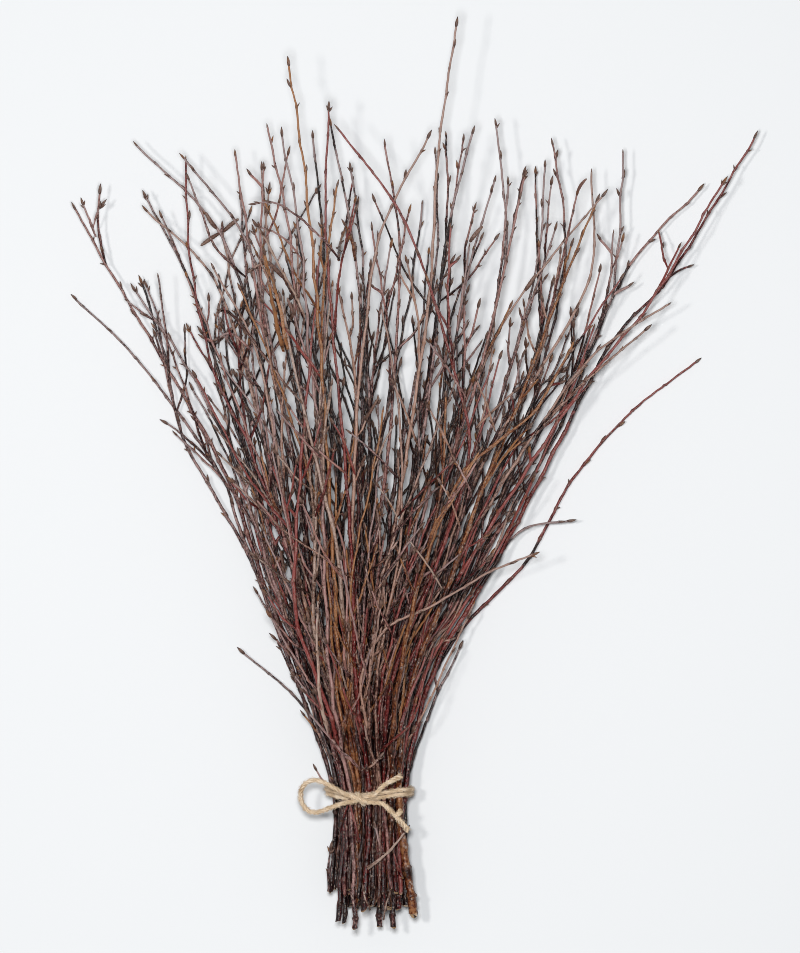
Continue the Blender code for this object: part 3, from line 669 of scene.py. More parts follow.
# Loose side twigs that lie across the others: bark, radius and points from root to end.
CROSS_TWIGS = (
    # hooked and crossing twigs at the upper left
    ("dark", 0.8, ((-191, 145), (-195, 156), (-199, 165))),
    ("dark", 0.6, ((-192, 150), (-190, 158), (-187, 163))),
    ("brown", 1.0, ((-116, 100), (-113, 99), (-109, 98), (-100, 88), (-92, 77), (-77, 57), (-67, 45))),
    ("dark", 0.8, ((-96, 75), (-100, 79), (-104, 83), (-109, 86), (-112, 86), (-116, 83))),
    ("dark", 0.6, ((-116, 77), (-116, 88), (-116, 100))),
    ("brown", 1.1, ((-65, 95), (-68, 104), (-73, 112), (-77, 119), (-82, 125), (-88, 127), (-93, 126),
                    (-95, 124))),
    ("orange", 1.3, ((-44, 129), (-43, 141), (-41, 147), (-40, 151))),
    ("orange", 1.2, ((-34, 129), (-36, 141), (-38, 147), (-40, 150))),
    ("dark", 0.7, ((-66, 129), (-68, 133), (-74, 140), (-82, 146), (-90, 149))),
    ("dark", 0.75, ((-43, 129), (-52, 140), (-60, 148), (-68, 155), (-78, 162), (-86, 164), (-94, 163))),
    ("tan", 0.9, ((-64, 95), (-71, 111), (-79, 125), (-86, 139), (-93, 150))),
    ("red", 1.0, ((-54, 59), (-64, 72), (-70, 81), (-76, 88), (-82, 96), (-89, 104))),
    ("orange", 1.7, ((-77, 75), (-80, 88), (-83, 103), (-86, 118), (-89, 136))),
    ("orange", 1.3, ((-74, 76), (-77, 91), (-80, 106), (-85, 122), (-88, 133))),
    # across the dense middle
    ("brown", 0.65, ((-36, -61), (-43, -56), (-55, -47), (-73, -35), (-90, -20), (-108, -3))),
    ("tan", 0.6, ((-8, -26), (-13, -16), (-20, -6))),
    ("tan", 0.65, ((18, -67), (8, -51), (-2, -38))),
    ("brown", 0.65, ((29, -32), (24, -17), (17, -4))),
    ("orange", 1.1, ((9, -43), (14, -28), (23, -16), (31, -1), (40, 15))),
    ("red", 0.75, ((-33, -2), (-36, 8), (-40, 19), (-47, 32))),
    ("tan", 0.7, ((-23, 4), (-18, 17), (-12, 29))),
    ("brown", 0.85, ((-25, -56), (-16, -49), (-9, -39))),
    ("orange", 1.0, ((-78, -24), (-84, -13), (-87, -1), (-90, 12))),
    ("red", 1.0, ((-4, -58), (1, -46))),
    ("dark", 1.2, ((-85, -9), (-84, 10), (-82, 28), (-85, 45))),
    # above the tie
    ("dark", 1.4, ((-35, -123), (-39, -117), (-45, -110), (-54, -97))),
    ("orange", 1.1, ((-41, -165), (-40, -149), (-38, -135), (-36, -122))),
    ("dark", 1.25, ((-31, -176), (-36, -170), (-43, -164), (-52, -153), (-62, -142))),
    ("brown", 0.9, ((-31, -176), (-25, -174), (-19, -168))),
    ("orange", 1.15, ((-9, -164), (-7, -146), (-5, -126), (-1, -104))),
    ("red", 1.4, ((-7, -153), (-4, -139), (1, -126), (8, -108))),
    ("dark", 0.7, ((-52, -186), (-56, -181), (-58, -177))),
    ("tan", 1.3, ((-50, -154), (-55, -134), (-56, -116), (-57, -95), (-56, -74))),
    # below the tie
    ("tan", 1.15, ((-28, -236), (-19, -229), (-12, -223), (-4, -213))),
    ("red", 0.85, ((-31, -220), (-35, -206), (-38, -195))),
    ("red", 0.8, ((-43, -213), (-41, -205), (-38, -196))),
    ("dark", 0.8, ((-16, -230), (-19, -221), (-22, -210))),
    ("red", 1.1, ((-6, -241), (-9, -234), (-11, -226))),
    ("tan", 0.6, ((-17, -266), (-16, -259), (-14, -252))),
    ("tan", 0.6, ((-25, -260), (-28, -254), (-29, -248))),
    ("dark", 1.0, ((-50, -250), (-50, -236), (-49, -224))),
)

# Short twigs that lie askew: how many, where along the bundle and across it, how far they turn off
# the fan, their length, bend and radius, and their barks.
STRAY_COUNT = 16
STRAY_REACH = (-105.0, 55.0)
STRAY_SHARES = (0.2, 0.8)
STRAY_TURN = (0.35, 0.85)
STRAY_LENGTH = (22, 44)
STRAY_BEND = 0.12
STRAY_RADIUS = (0.6, 0.95)
STRAY_PARTS = (0, 0.33, 0.67, 1.0)
STRAY_TONES = ("dark", "maroon", "brown", "dark", "red", "brown")

# Resting crossing twigs on the others: the step of the dots, the gaps to a twig and to the surface,
# how often a line is drawn stiff, and how deep its root goes down and over how many steps.
HEAP_STEP = 1.5
REST_GAP = 0.3
GROUND_GAP = 0.2
REST_SWEEPS = 60
ROOT_DEPTH = 4.5
ROOT_DIP = 5

# Shades of the twigs that stand out; the other twigs draw theirs.
SHADES = {"left_01": 0.25, "left_02": 0.15, "left_03": 0.1, "left_04": 0.2, "left_05": 0.3,
          "left_07": 0.35, "left_11": 0.1, "middle_16": 0.3, "middle_17": 0.35, "middle_19": 0.15,
          "right_06": 0.2, "right_08": 0.48, "right_15": 0.2, "right_16": 0.5}

# Barks that differ from the solid's own.
TONES = {"right_16": "brown", "right_04": "maroon"}

# The bundle rests on the surface, and its highest twigs are pressed down a little.
TOP_HEIGHT = 84.0
LEAST_HEIGHT = 0.2
PRESSED_FROM = 78.0
PRESS = 0.25

# Catkins, as (root x, root y, end x, end y).
CATKINS = ((-117, 149, -125, 156), (-116, 146, -126, 140), (-114, 147, -104, 157), (-37, 130, -34, 142),
           (-78, 118, -84, 127), (34, 141, 41, 150), (66, 112, 74, 119))
CATKIN_ROWS = 15


def tone_of(number, side, tone):
    """The bark of a twig: many of the dark ones are maroon, most of them at the right."""
    step = 2 if side == "right" else 4
    return "maroon" if tone == "dark" and number % step == 1 else tone


def fill_stem(number, rng):
    """Guide data of one thin fill twig: tip and mid-fan points, and the height of its tip."""
    share = (number + 0.5 + rng.uniform(-FILL_UNEVEN, FILL_UNEVEN)) / FILL_COUNT
    share = min(max(share, FILL_SHARES[0]), FILL_SHARES[1])
    reach = rng.triangular(*FILL_REACH)
    drift = rng.uniform(-FILL_DRIFT, FILL_DRIFT)
    points = []
    for part in FILL_PARTS:
        y = FAN_FOOT + (reach - FAN_FOOT) * part
        left, right = edges_at(y, SIDES)
        spot = min(max(share + drift * (part - 0.3), FILL_EDGES[0]), FILL_EDGES[1])
        points.append((left + spot * (right - left), y))
    middle = 1.0 - abs(2 * share - 1) ** FILL_ROUNDING
    tip_height = rng.uniform(FILL_TIP_LOW, FILL_TIP_HIGH + FILL_TIP_RISE * middle)
    tone = FILL_TONES[number % len(FILL_TONES)]
    return "fill_%02d" % (number + 1), rng.uniform(*FILL_RADIUS), tone, tip_height, tuple(points), ()


def low_stem(number, rng):
    """Guide data of one thin dark twig deep in the bundle."""
    share = LOW_FIRST + LOW_WIDTH * (number + 0.5) / LOW_COUNT
    reach = rng.uniform(*LOW_REACH)
    points = []
    for part in FILL_PARTS:
        y = FAN_FOOT + (reach - FAN_FOOT) * part
        left, right = edges_at(y)
        points.append((left + (share + rng.uniform(-LOW_UNEVEN, LOW_UNEVEN)) * (right - left), y))
    radius, height = rng.uniform(*LOW_RADIUS), rng.uniform(*LOW_TIPS)
    return "low_%02d" % (number + 1), radius, "dark", height, tuple(points), ()


def add_fill(lines, widths):
    """Fits the fill twigs into the spaces that the fixed ones leave."""
    rng = random.Random(SEED + 4)
    stems = [fill_stem(number, rng) for number in range(FILL_COUNT)]
    stems += [low_stem(number, rng) for number in range(LOW_COUNT)]
    slots = {number: (across * FILL_INSET, up) for number, (across, up) in assign_slots(stems, rng).items()}
    tangle = Tangle()
    for stem in STEMS:
        for name in [stem[0]] + [key for key in lines if key.startswith(stem[0] + "_shoot")]:
            tangle.add(name, lines[name], widths[name])
    fixed = len(tangle.points)
    tie_points = []
    chains = {}
    for number, stem in enumerate(stems):
        guide = stem_line(stem, slots[number], rng)
        upper, _ = along(guide[1:], np.linspace(0, 1, 9))
        line = [(guide[0][0], guide[0][1] + rng.uniform(2, 9), guide[0][2])] + list(upper)
        radii = [stem[1] + (0.6 - stem[1]) * (k / (len(line) - 1)) ** 0.9 for k in range(len(line))]
        chain = tangle.add(stem[0], line, radii)
        tie_points.append(chain[1])
        chains[stem[0]] = chain
    points, _ = ease_apart(tangle, tie_points, sweeps=260, settle=80, fixed=fixed)
    return stems, {name: points[chain] for name, chain in chains.items()}


class PaintedCoverShade:
    """How high the bundle stands over each spot of the surface, to paint shade onto the twigs deep inside.
    """

    def __init__(self, lines):
        self.tops = {}
        for line in lines:
            dense, _ = smooth_line(line, 2.0)
            for x, y, z in dense:
                for cell in self.cells(x, y):
                    self.tops[cell] = max(self.tops.get(cell, 0.0), z)

    def cells(self, x, y):
        """The cell over a spot and the four beside it."""
        column, row = round(x / COVER_CELL), round(y / COVER_CELL)
        return [(column, row), (column + 1, row), (column - 1, row), (column, row + 1), (column, row - 1)]

    def shade(self, spots):
        """How much painted shade each of the spots gets, from the height of the twigs above it."""
        depths = [self.tops.get(self.cells(x, y)[0], 0.0) - z for x, y, z in spots]
        return -BURIED_PAINTED_SHADE * np.clip((np.array(depths) - BURIED_FROM) / BURIED_SPAN, 0, 1)


class Growth:
    """Gathers tubes and buds into the points and faces of one mesh."""

    def __init__(self, painted_cover_shade=None):
        self.painted_cover_shade = painted_cover_shade
        self.points = []
        self.faces = []
        self.looks = []
        self.grain = []
        self.count = 0

    def tube(self, line, radii, sides, look, look_end=None, slant=0.0):
        """Adds a closed tube; look is (bud, cut, tone, way), one for all rings or one for each."""
        line = np.asarray(line, dtype=float)
        total = len(line)
        tangents = np.gradient(line, axis=0)
        tangents /= np.maximum(np.linalg.norm(tangents, axis=1), 1e-9)[:, None]
        normal = np.cross(tangents[0], (0.31, 0.17, 0.93))
        normal /= np.linalg.norm(normal)
        turns = np.linspace(0, 2 * math.pi, sides, endpoint=False)
        rings = []
        for spot, tangent, radius in zip(line, tangents, radii):
            normal = normal - tangent * normal.dot(tangent)
            normal /= np.linalg.norm(normal)
            other = np.cross(tangent, normal)
            rings.append(spot + radius * (np.cos(turns)[:, None] * normal + np.sin(turns)[:, None] * other))
        for ring in rings[:2]:
            ring += np.outer(np.cos(turns) * radii[0] * slant, tangents[0])
        start = self.count
        self.points.append(np.vstack(rings))
        first = start + np.arange(total - 1)[:, None] * sides
        here = np.arange(sides)[None, :]
        after = (here + 1) % sides
        quads = np.stack([first + here, first + after, first + sides + after, first + sides + here], axis=2)
        self.faces.extend(quads.reshape(-1, 4).tolist())
        self.faces.append(list(range(start + sides - 1, start - 1, -1)))
        self.faces.append(list(range(start + (total - 1) * sides, start + total * sides)))
        looks = np.array(look, dtype=float)
        if look_end is not None:
            shares = np.linspace(0, 1, total)[:, None]
            looks = looks * (1 - shares) + np.array(look_end) * shares
        looks = np.broadcast_to(looks, (total, 4))
        self.looks.append(np.repeat(looks, sides, axis=0))
        run = run_along(line) + start % GRAIN_REPEAT
        around = np.tile(np.column_stack([np.cos(turns), np.sin(turns)]) * GRAIN_RADIUS, (total, 1))
        self.grain.append(np.column_stack([around, np.repeat(run, sides)]))
        self.count += total * sides

    def build(self, name, paint):
        """Makes the mesh object, in metres, with its look and its grain as attributes."""
        mesh = bpy.data.meshes.new(name)
        points = np.vstack(self.points)
        points[:, 2] = np.maximum(points[:, 2], LEAST_HEIGHT)
        over = np.maximum(points[:, 2] - PRESSED_FROM, 0)
        points[:, 2] -= over * PRESS
        mesh.from_pydata((points * MM).tolist(), [], self.faces)
        look = mesh.attributes.new("look", "FLOAT_COLOR", "POINT")
        look.data.foreach_set("color", np.vstack(self.looks).astype(np.float32).ravel())
        grain = mesh.attributes.new("grain", "FLOAT_VECTOR", "POINT")
        grain.data.foreach_set("vector", np.vstack(self.grain).astype(np.float32).ravel())
        mesh.materials.append(paint)
        mesh.shade_smooth()
        mesh.set_sharp_from_angle(angle=math.radians(50))
        obj = bpy.data.objects.new(name, mesh)
        bpy.context.scene.collection.objects.link(obj)
        return obj


def unit(vector):
    """The vector at length one."""
    return vector / max(np.linalg.norm(vector), 1e-9)


def smooth_line(points, spacing):
    """A dense smooth line through the points, about `spacing` apart."""
    _, length = along(points, [0.0, 1.0])
    line, _ = along(points, np.linspace(0, 1, max(4, int(length / spacing))))
    return line, length


def add_bud(growth, base, heading, size, rng):
    """A slim pointed bud that swells a third of the way up."""
    plump = size * rng.uniform(*BUD_PLUMP)
    bend = unit(np.cross(heading, (0.2, 0.1, 1.0))) * size * rng.uniform(-0.08, 0.08)
    line = base + np.outer(BUD_WAYS * size, heading) + np.outer(BUD_WAYS ** 2, bend)
    hue = rng.random()
    growth.tube(line, BUD_GIRTHS * plump, SIDES_THIN, (1, 0, hue, 0), (1, 0, hue, 1))


def add_end_buds(growth, end, heading, rng):
    """What a twig ends in: one bud, a bud with a pair below it, or a dry point."""
    kind = rng.random()
    size = BUD_SIZE * rng.uniform(0.9, 1.2)
    if kind < WEAK_BELOW:
        size = BUD_SIZE * 0.6
    add_bud(growth, end - heading * 0.6, heading, size, rng)
    if kind > SECOND_ABOVE:
        across = unit(np.cross(heading, (rng.uniform(-0.5, 0.5), 0.2, 1.0)))
        for way, lean in ((1, rng.uniform(0.4, 0.8)), (-1, rng.uniform(0.4, 0.8))):
            if way > 0 or kind > THIRD_ABOVE:
                base = end - heading * rng.uniform(1.2, 3.0)
                add_bud(growth, base, unit(heading + across * way * lean), size * 0.75, rng)


def add_catkin(growth, base, heading, size, girth, rng):
    """A short catkin with rows of scales."""
    ways = np.linspace(0, 1, CATKIN_ROWS)
    body = np.sin(np.clip(ways * 0.94 + 0.06, 0, 1) * math.pi) ** 0.35
    girths = girth * body * np.where(np.arange(CATKIN_ROWS) % 2, 1.0, 0.84)
    girths[0] = 0.5
    bend = np.array((rng.uniform(-1, 1), rng.uniform(-1, 1), 0.2)) * 3.0
    line = base + np.outer(ways * size, heading) + np.outer(ways ** 2, bend)
    growth.tube(line, girths, SIDES_THIN + 1, (0.8, 0, 0.5, 0.2), (0.8, 0, 0.5, 0.6))


def joint_places(length, main, rng):
    """Distances along a twig at which it has its joints."""
    places = []
    place = rng.uniform(*FIRST_JOINT)
    while place < length - LAST_JOINT:
        places.append(place)
        place += rng.uniform(*(JOINTS_MAIN if main else JOINTS_THIN))
    return places


def inside_fan(point):
    """True where a tip stays inside the bundle's outline, its height included."""
    x, y, z = point
    if not 1.6 < z < TOP_HEIGHT:
        return False
    if y > np.interp(x, *zip(*CROWN)):
        return False
    left, right = edges_at(y, SIDES)
    return left - 3 < x < right + 3


def stem_stops(length, places, rng):
    """Where along its length a twig gets rings of points: its joints and uneven steps between."""
    stops = {0.0, 0.15, length}
    for place in places:
        stops.update((place - 1.5, place - 0.2, place + 1.6))
    step = 2.0
    while step < length:
        stops.add(step)
        step += rng.uniform(2.6, 5.0)
    stops = sorted(stop for stop in stops if 0 <= stop <= length)
    return np.array([stop for stop, before in zip(stops, [-1.0] + stops) if stop - before > 0.1])


class Twig:
    """The course of one twig: its joints, and the places and radii of its rings."""

    def __init__(self, points, butt, tip, rng, main, cut, trim):
        self.line, self.length = smooth_line(points, RING_SPACING)
        if trim:
            kept = int(len(self.line) * (1 - BUD_SIZE / self.length))
            self.line, self.length = smooth_line(self.line[:kept], RING_SPACING)
        self.places = joint_places(self.length, main, rng)
        kink = (KINK_MAIN if main else KINK_THIN) * rng.uniform(*KINK_SPREAD)
        self.stops = stem_stops(self.length, self.places, rng)
        self.ways = self.stops / self.length
        facing = rng.uniform(0, math.pi)
        self.side = np.array((math.cos(facing), 0.15, math.sin(facing) * 0.8))
        self.spots = self.kinked(kink, rng)
        self.spots[:, 2] = np.maximum(self.spots[:, 2], butt * 0.9 + 0.1)
        self.near = np.zeros(len(self.stops))
        for place in self.places:
            self.near = np.maximum(self.near, np.exp(-((self.stops - place) / JOINT_LENGTH) ** 2))
        self.girths = self.tapered(butt, tip, main, cut, rng)

    def kinked(self, kink, rng):
        """Places of the rings: from side to side at the joints, and a little uneven."""
        run = np.linspace(0, self.length, len(self.line))
        spots = np.column_stack([np.interp(self.stops, run, self.line[:, k]) for k in range(3)])
        swing = np.interp(self.stops, [0.0] + self.places + [self.length],
                          [0.0] + [kink * (-1) ** n for n in range(len(self.places))] + [0.0])
        wander = np.array([[rng.uniform(-WANDER, WANDER) for _ in range(3)] for _ in self.stops])
        return spots + np.outer(swing, self.side) + wander

    def tapered(self, butt, tip, main, cut, rng):
        """Radii of the rings: uneven, swollen at the joints, and slim where a shoot leaves its twig."""
        girths = butt + (tip - butt) * self.ways ** (rng.uniform(*TAPER) if main else TAPER_POWER)
        girths = girths * np.array([rng.uniform(*GIRTH_SPREAD) for _ in self.stops])
        girths = girths * (1 + SWELLING * self.near)
        if not cut:
            girths = girths * np.interp(self.stops, [0, FOOT_LENGTH], [FOOT_GIRTH, 1.0])
        return girths

    def looks(self, tone, painted_cover_shade, cut, stub):
        """Bud, cut, shade and way of every ring; a stub's knot also swells it."""
        shades = np.full(len(self.stops), tone)
        if stub:
            knot = np.exp(-((self.stops - STUB_KNOT) / STUB_KNOT_LENGTH) ** 2)
            self.girths = self.girths * (1 + STUB_KNOT_SWELLING * knot)
            shades = np.interp(self.stops, STUB_FADE, (tone, STUB_END_SHADE)) - knot
        elif cut:
            shades = shades - FOOT_DARK * np.clip(1 - self.stops / FOOT_SPAN, 0, 1)
        # Painted shade on the rings that lie deep under other twigs.
        if painted_cover_shade is not None:
            shades = shades + painted_cover_shade.shade(self.spots)
        looks = np.column_stack([JOINT_BUD * self.near, np.zeros(len(self.stops)), shades, self.ways])
        if cut:
            looks[0, 1] = 1.0
        return looks

    def joint(self, number):
        """Place, heading, side and radius of a twig at one of its joints."""
        place = self.places[number]
        index = min(int(place / self.length * (len(self.line) - 1)), len(self.line) - 2)
        heading = unit(self.line[index + 1] - self.line[index])
        spot = np.array([np.interp(place, self.stops, self.spots[:, k]) for k in range(3)])
        across = unit(self.side - heading * self.side.dot(heading)) * (-1) ** number
        return spot, heading, across, float(np.interp(place, self.stops, self.girths))


def add_twig(growth, points, butt, tip, tone, rng, main=True, sprigs=4, cut=True, trim=True, stub=False):
    """One twig with its buds, scars and sprigs; the stub is light up to the tie."""
    twig = Twig(points, butt, tip, rng, main, cut, trim)
    looks = twig.looks(tone, growth.painted_cover_shade, cut, stub)
    slant = rng.uniform(-SLANT, SLANT) if cut else 0.0
    growth.tube(twig.spots, twig.girths, SIDES_MAIN if main else SIDES_THIN, looks, slant=slant)
    joints = len(twig.places)
    sprig_places = set(rng.sample(range(joints), min(joints, sprigs * 2))) if sprigs else set()
    made = 0
    for number, place in enumerate(twig.places):
        way = place / twig.length
        spot, heading, across, girth = twig.joint(number)
        if number in sprig_places and way > SPRIG_START and made < sprigs:
            made += add_sprig(growth, spot, heading, across, way, tone, rng)
        elif way > (BUDS_FROM if main else 0.0) and rng.random() < BUD_SHARE * (0.35 + 0.8 * way):
            lean = rng.uniform(*BUD_LEAN)
            add_bud(growth, spot + across * girth * 0.55, unit(heading + across * lean),
                    BUD_SIZE * rng.uniform(*BUD_SPREAD), rng)
        elif way > SCARS_FROM and rng.random() < SCAR_SHARE:
            add_bud(growth, spot + across * girth * 0.5, unit(heading * 1.1 + across), SCAR_SIZE, rng)
    add_end_buds(growth, twig.spots[-1], unit(twig.spots[-1] - twig.spots[-3]), rng)


def add_sprig(growth, spot, heading, across, way, tone, rng):
    """A small side shoot with buds of its own, or a short spur; returns 1 when it fits."""
    reach = rng.choice(SPRIG_OUTER if way > 0.45 else SPRIG_INNER) * (1.25 - 0.6 * way)
    lean = rng.choice(SPRIG_LEANS)
    lift = np.array((0, 0, rng.uniform(-0.25, 0.25)))
    first = spot + unit(heading + across * lean) * reach * 0.4
    last = first + unit(heading + across * lean * rng.uniform(0.3, 0.9) + lift) * reach * 0.6
    if not inside_fan(last + unit(heading) * 5):
        return 0
    if reach < SPUR_LENGTH:
        end = spot + unit(heading + across * 1.1) * reach
        growth.tube([spot, (spot + end) / 2 + heading * 0.3, end], [0.95, 0.85, 0.8], SIDES_THIN,
                    (0, 0, tone, 0.6))
        add_bud(growth, end - (end - spot) * 0.06, unit(heading * 1.4 + across), BUD_SIZE, rng)
        return 1
    add_twig(growth, [spot, first, (first + last) / 2 + lift, last], 0.78, 0.55, tone, rng,
             main=False, sprigs=0, cut=False, trim=False)
    if rng.random() < SPRIG_CATKINS:
        add_catkin(growth, last, unit(heading + across * 0.5), rng.uniform(9, 13), 1.05, rng)
    return 1


class Wiring:
    """The shader of one material, with short forms for adding and joining its nodes."""

    def __init__(self, name):
        self.material = bpy.data.materials.new(name)
        self.material.use_nodes = True
        self.nodes = self.material.node_tree.nodes
        self.link = self.material.node_tree.links.new
        self.shader = self.nodes["Principled BSDF"]

    def add(self, kind, **values):
        """Adds a node; each value is a setting of the node or the start of an input."""
        node = self.nodes.new(kind)
        for key, value in values.items():
            if hasattr(node, key):
                setattr(node, key, value)
            else:
                node.inputs[key.replace("_", " ")].default_value = value
        return node

    def object_place(self):
        """Where each point lies on the object."""
        return self.add("ShaderNodeTexCoord").outputs["Object"]

    def attribute(self, name):
        """What one of the mesh's own attributes gives."""
        return self.add("ShaderNodeAttribute", attribute_name=name, attribute_type="GEOMETRY").outputs

    def parts(self, colour):
        """The three parts of a colour."""
        split = self.add("ShaderNodeSeparateColor")
        self.link(colour, split.inputs["Color"])
        return split.outputs

    def ramp(self, shade, stops):
        """The colour of a shade, from stops given as (place, colour)."""
        node = self.add("ShaderNodeValToRGB")
        elements = node.color_ramp.elements
        for index, (place, colour) in ((0, stops[0]), (1, stops[-1])):
            elements[index].position = place
            elements[index].color = (*colour, 1)
        for place, colour in stops[1:-1]:
            elements.new(place).color = (*colour, 1)
        self.link(shade, node.inputs["Fac"])
        return node.outputs["Color"]

    def mix(self, factor, first, second):
        """Mixes two colours, each a socket or a plain colour."""
        node = self.add("ShaderNodeMix", data_type="RGBA")
        self.link(factor, node.inputs["Factor"])
        for socket, value in ((node.inputs[6], first), (node.inputs[7], second)):
            if isinstance(value, tuple):
                socket.default_value = (*value, 1)
            else:
                self.link(value, socket)
        return node.outputs[2]

    def threshold(self, socket, low, high):
        """0 below low and 1 above high."""
        return self.spread(socket, 0.0, 1.0, low, high)

    def spread(self, socket, least, most, low=0.0, high=1.0):
        """Spreads the span from low to high over the span from least to most."""
        node = self.add("ShaderNodeMapRange", clamp=True)
        self.link(socket, node.inputs["Value"])
        for name, value in (("From Min", low), ("From Max", high), ("To Min", least), ("To Max", most)):
            node.inputs[name].default_value = value
        return node.outputs["Result"]

    def times(self, socket, factor, more=0.0):
        """A socket times a number, plus another socket or number."""
        node = self.add("ShaderNodeMath", operation="MULTIPLY_ADD")
        self.link(socket, node.inputs[0])
        node.inputs[1].default_value = factor
        if isinstance(more, float):
            node.inputs[2].default_value = more
        else:
            self.link(more, node.inputs[2])
        return node.outputs[0]

    def product(self, first, second):
        """One socket times another."""
        node = self.add("ShaderNodeMath", operation="MULTIPLY")
        self.link(first, node.inputs[0])
        self.link(second, node.inputs[1])
        return node.outputs[0]

    def noise(self, place, scale, detail, roughness):
        """Noise over a place vector."""
        node = self.add("ShaderNodeTexNoise", Scale=scale, Detail=detail, Roughness=roughness)
        self.link(place, node.inputs["Vector"])
        return node.outputs["Fac"]

    def stretched(self, place, lengthwise):
        """A place vector squeezed along the twig, which draws its pattern out lengthwise."""
        node = self.add("ShaderNodeMapping", Scale=(1.0, 1.0, lengthwise))
        self.link(place, node.inputs["Vector"])
        return node.outputs["Vector"]

    def raise_surface(self, height, strength, distance):
        """Raises the surface by a height."""
        bump = self.add("ShaderNodeBump", Strength=strength, Distance=distance)
        self.link(height, bump.inputs["Height"])
        self.link(bump.outputs["Normal"], self.shader.inputs["Normal"])

    def finish(self, **values):
        """Sets plain values of the shader and gives the material."""
        for key, value in values.items():
            self.shader.inputs[key.replace("_", " ")].default_value = value
        return self.material


# Bark colours: dark grain, middle, and pale dry film.
BARK = {
    "dark": ((0.0085, 0.0010, 0.0012), (0.047, 0.0105, 0.0105), (0.38, 0.222, 0.200)),
    "maroon": ((0.0105, 0.0010, 0.0012), (0.072, 0.0098, 0.0096), (0.36, 0.185, 0.158)),
    "brown": ((0.0100, 0.0016, 0.0014), (0.072, 0.0200, 0.0140), (0.41, 0.248, 0.190)),
    "red": ((0.0120, 0.0010, 0.0012), (0.105, 0.0080, 0.0075), (0.26, 0.066, 0.056)),
    "orange": ((0.0210, 0.0042, 0.0018), (0.124, 0.0300, 0.0100), (0.34, 0.160, 0.070)),
    "tan": ((0.0300, 0.0120, 0.0085), (0.170, 0.0940, 0.0670), (0.44, 0.320, 0.265)),
}

# Painted reflection: the slate grey of the white surround's glare, painted into the bark at its thin ends,
# and how much each colour gets of it.
PAINTED_GLARE = ((0.0068, 0.0034, 0.0040), (0.036, 0.0300, 0.0325), (0.30, 0.255, 0.255))
PAINTED_GLARE_SHARE = {"dark": 0.85, "maroon": 0.30, "brown": 0.45, "red": 0.15, "orange": 0.0, "tan": 0.25}
RAMP_PLACES = (0.37, 0.52, 0.71)
PORE_COLOUR = (0.48, 0.38, 0.32)

# What makes the shade of the bark: how much each part counts, and where the sum starts.
SHADE_START = -0.690
WAY_WEIGHT = 0.28
OWN_WEIGHT = 0.36
BROAD_WEIGHT = 0.42
STREAK_WEIGHT = 0.72
FINE_WEIGHT = 1.00

# Patterns of the bark, as (scale, detail, roughness), and how far they are drawn out along it.
BROAD_NOISE = (60.0, 3.0, 0.6)
FINE_NOISE = (560.0, 4.0, 0.75)
STREAK_NOISE = (0.60, 4.0, 0.66)
STREAK_STRETCH = 0.14

# Its dry film, the painted glare grey at the ends, the pores, and how rough and raised it is.
DRY_NOISE = (0.62, 4.0, 0.75)
DRY_STRETCH = 0.22
DRY_SPAN = (0.55, 0.62)
DRY_SHARE = 0.45
PAINTED_GLARE_SPAN = (0.45, 1.15)
PORE_SCALE = 0.62
PORE_STRETCH = 0.55
PORE_SPAN = (0.34, 0.20)
PORE_CHOICE = (0.60, 0.64)
PORE_SHARE = 0.8
BARK_ROUGHNESS = (0.19, 0.38)
BARK_BUMP = (0.7, 0.0007)

# The dark and the pale wood of the cut ends.
CUT_WOOD = ((0.26, 0.150, 0.075), (0.52, 0.37, 0.22))

# Bud scales from foot to point: dark ones with pale rims, and warmer ones.
BUD_PLACES = (0.0, 0.35, 0.6, 0.8, 1.0)
PLAIN_BUD = ((0.045, 0.022, 0.017), (0.125, 0.068, 0.051), (0.20, 0.125, 0.095), (0.060, 0.030, 0.024),
             (0.024, 0.012, 0.010))
WARM_BUD = ((0.09, 0.028, 0.013), (0.22, 0.085, 0.030), (0.30, 0.14, 0.050), (0.11, 0.045, 0.020),
            (0.030, 0.014, 0.010))

# Colours of the jute from its dark fibres to its pale ones, as (place, colour).
JUTE = ((0.34, (0.22, 0.120, 0.060)), (0.44, (0.54, 0.380, 0.225)), (0.53, (0.79, 0.62, 0.44)),
        (0.62, (0.98, 0.88, 0.75)))
JUTE_BROAD_NOISE = (140.0, 3.0, 0.6)
FIBRE_NOISE = (2.6, 4.0, 0.75)
FIBRE_STRETCH = 0.10
SPECK_NOISE = (1900.0, 3.0, 0.7)
JUTE_BUMP = (0.8, 0.0005)


def pore_marks(net, grain):
    """Pale raised pores, a few to each centimetre."""
    cells = net.add("ShaderNodeTexVoronoi", Scale=PORE_SCALE, Randomness=1.0)
    net.link(net.stretched(grain, PORE_STRETCH), cells.inputs["Vector"])
    inner = net.threshold(cells.outputs["Distance"], *PORE_SPAN)
    chosen = net.threshold(net.parts(cells.outputs["Color"])[0], *PORE_CHOICE)
    return net.product(inner, chosen)


def bud_colour(net, way, own, fine):
    """Dark bud scales with pale rims, warmer on some of the buds."""
    shift = net.times(fine, 0.45, net.times(way, 0.75, -0.12))
    plain, warm = (net.ramp(shift, tuple(zip(BUD_PLACES, colours))) for colours in (PLAIN_BUD, WARM_BUD))
    return net.mix(net.threshold(own, 0.78, 1.0), plain, warm)


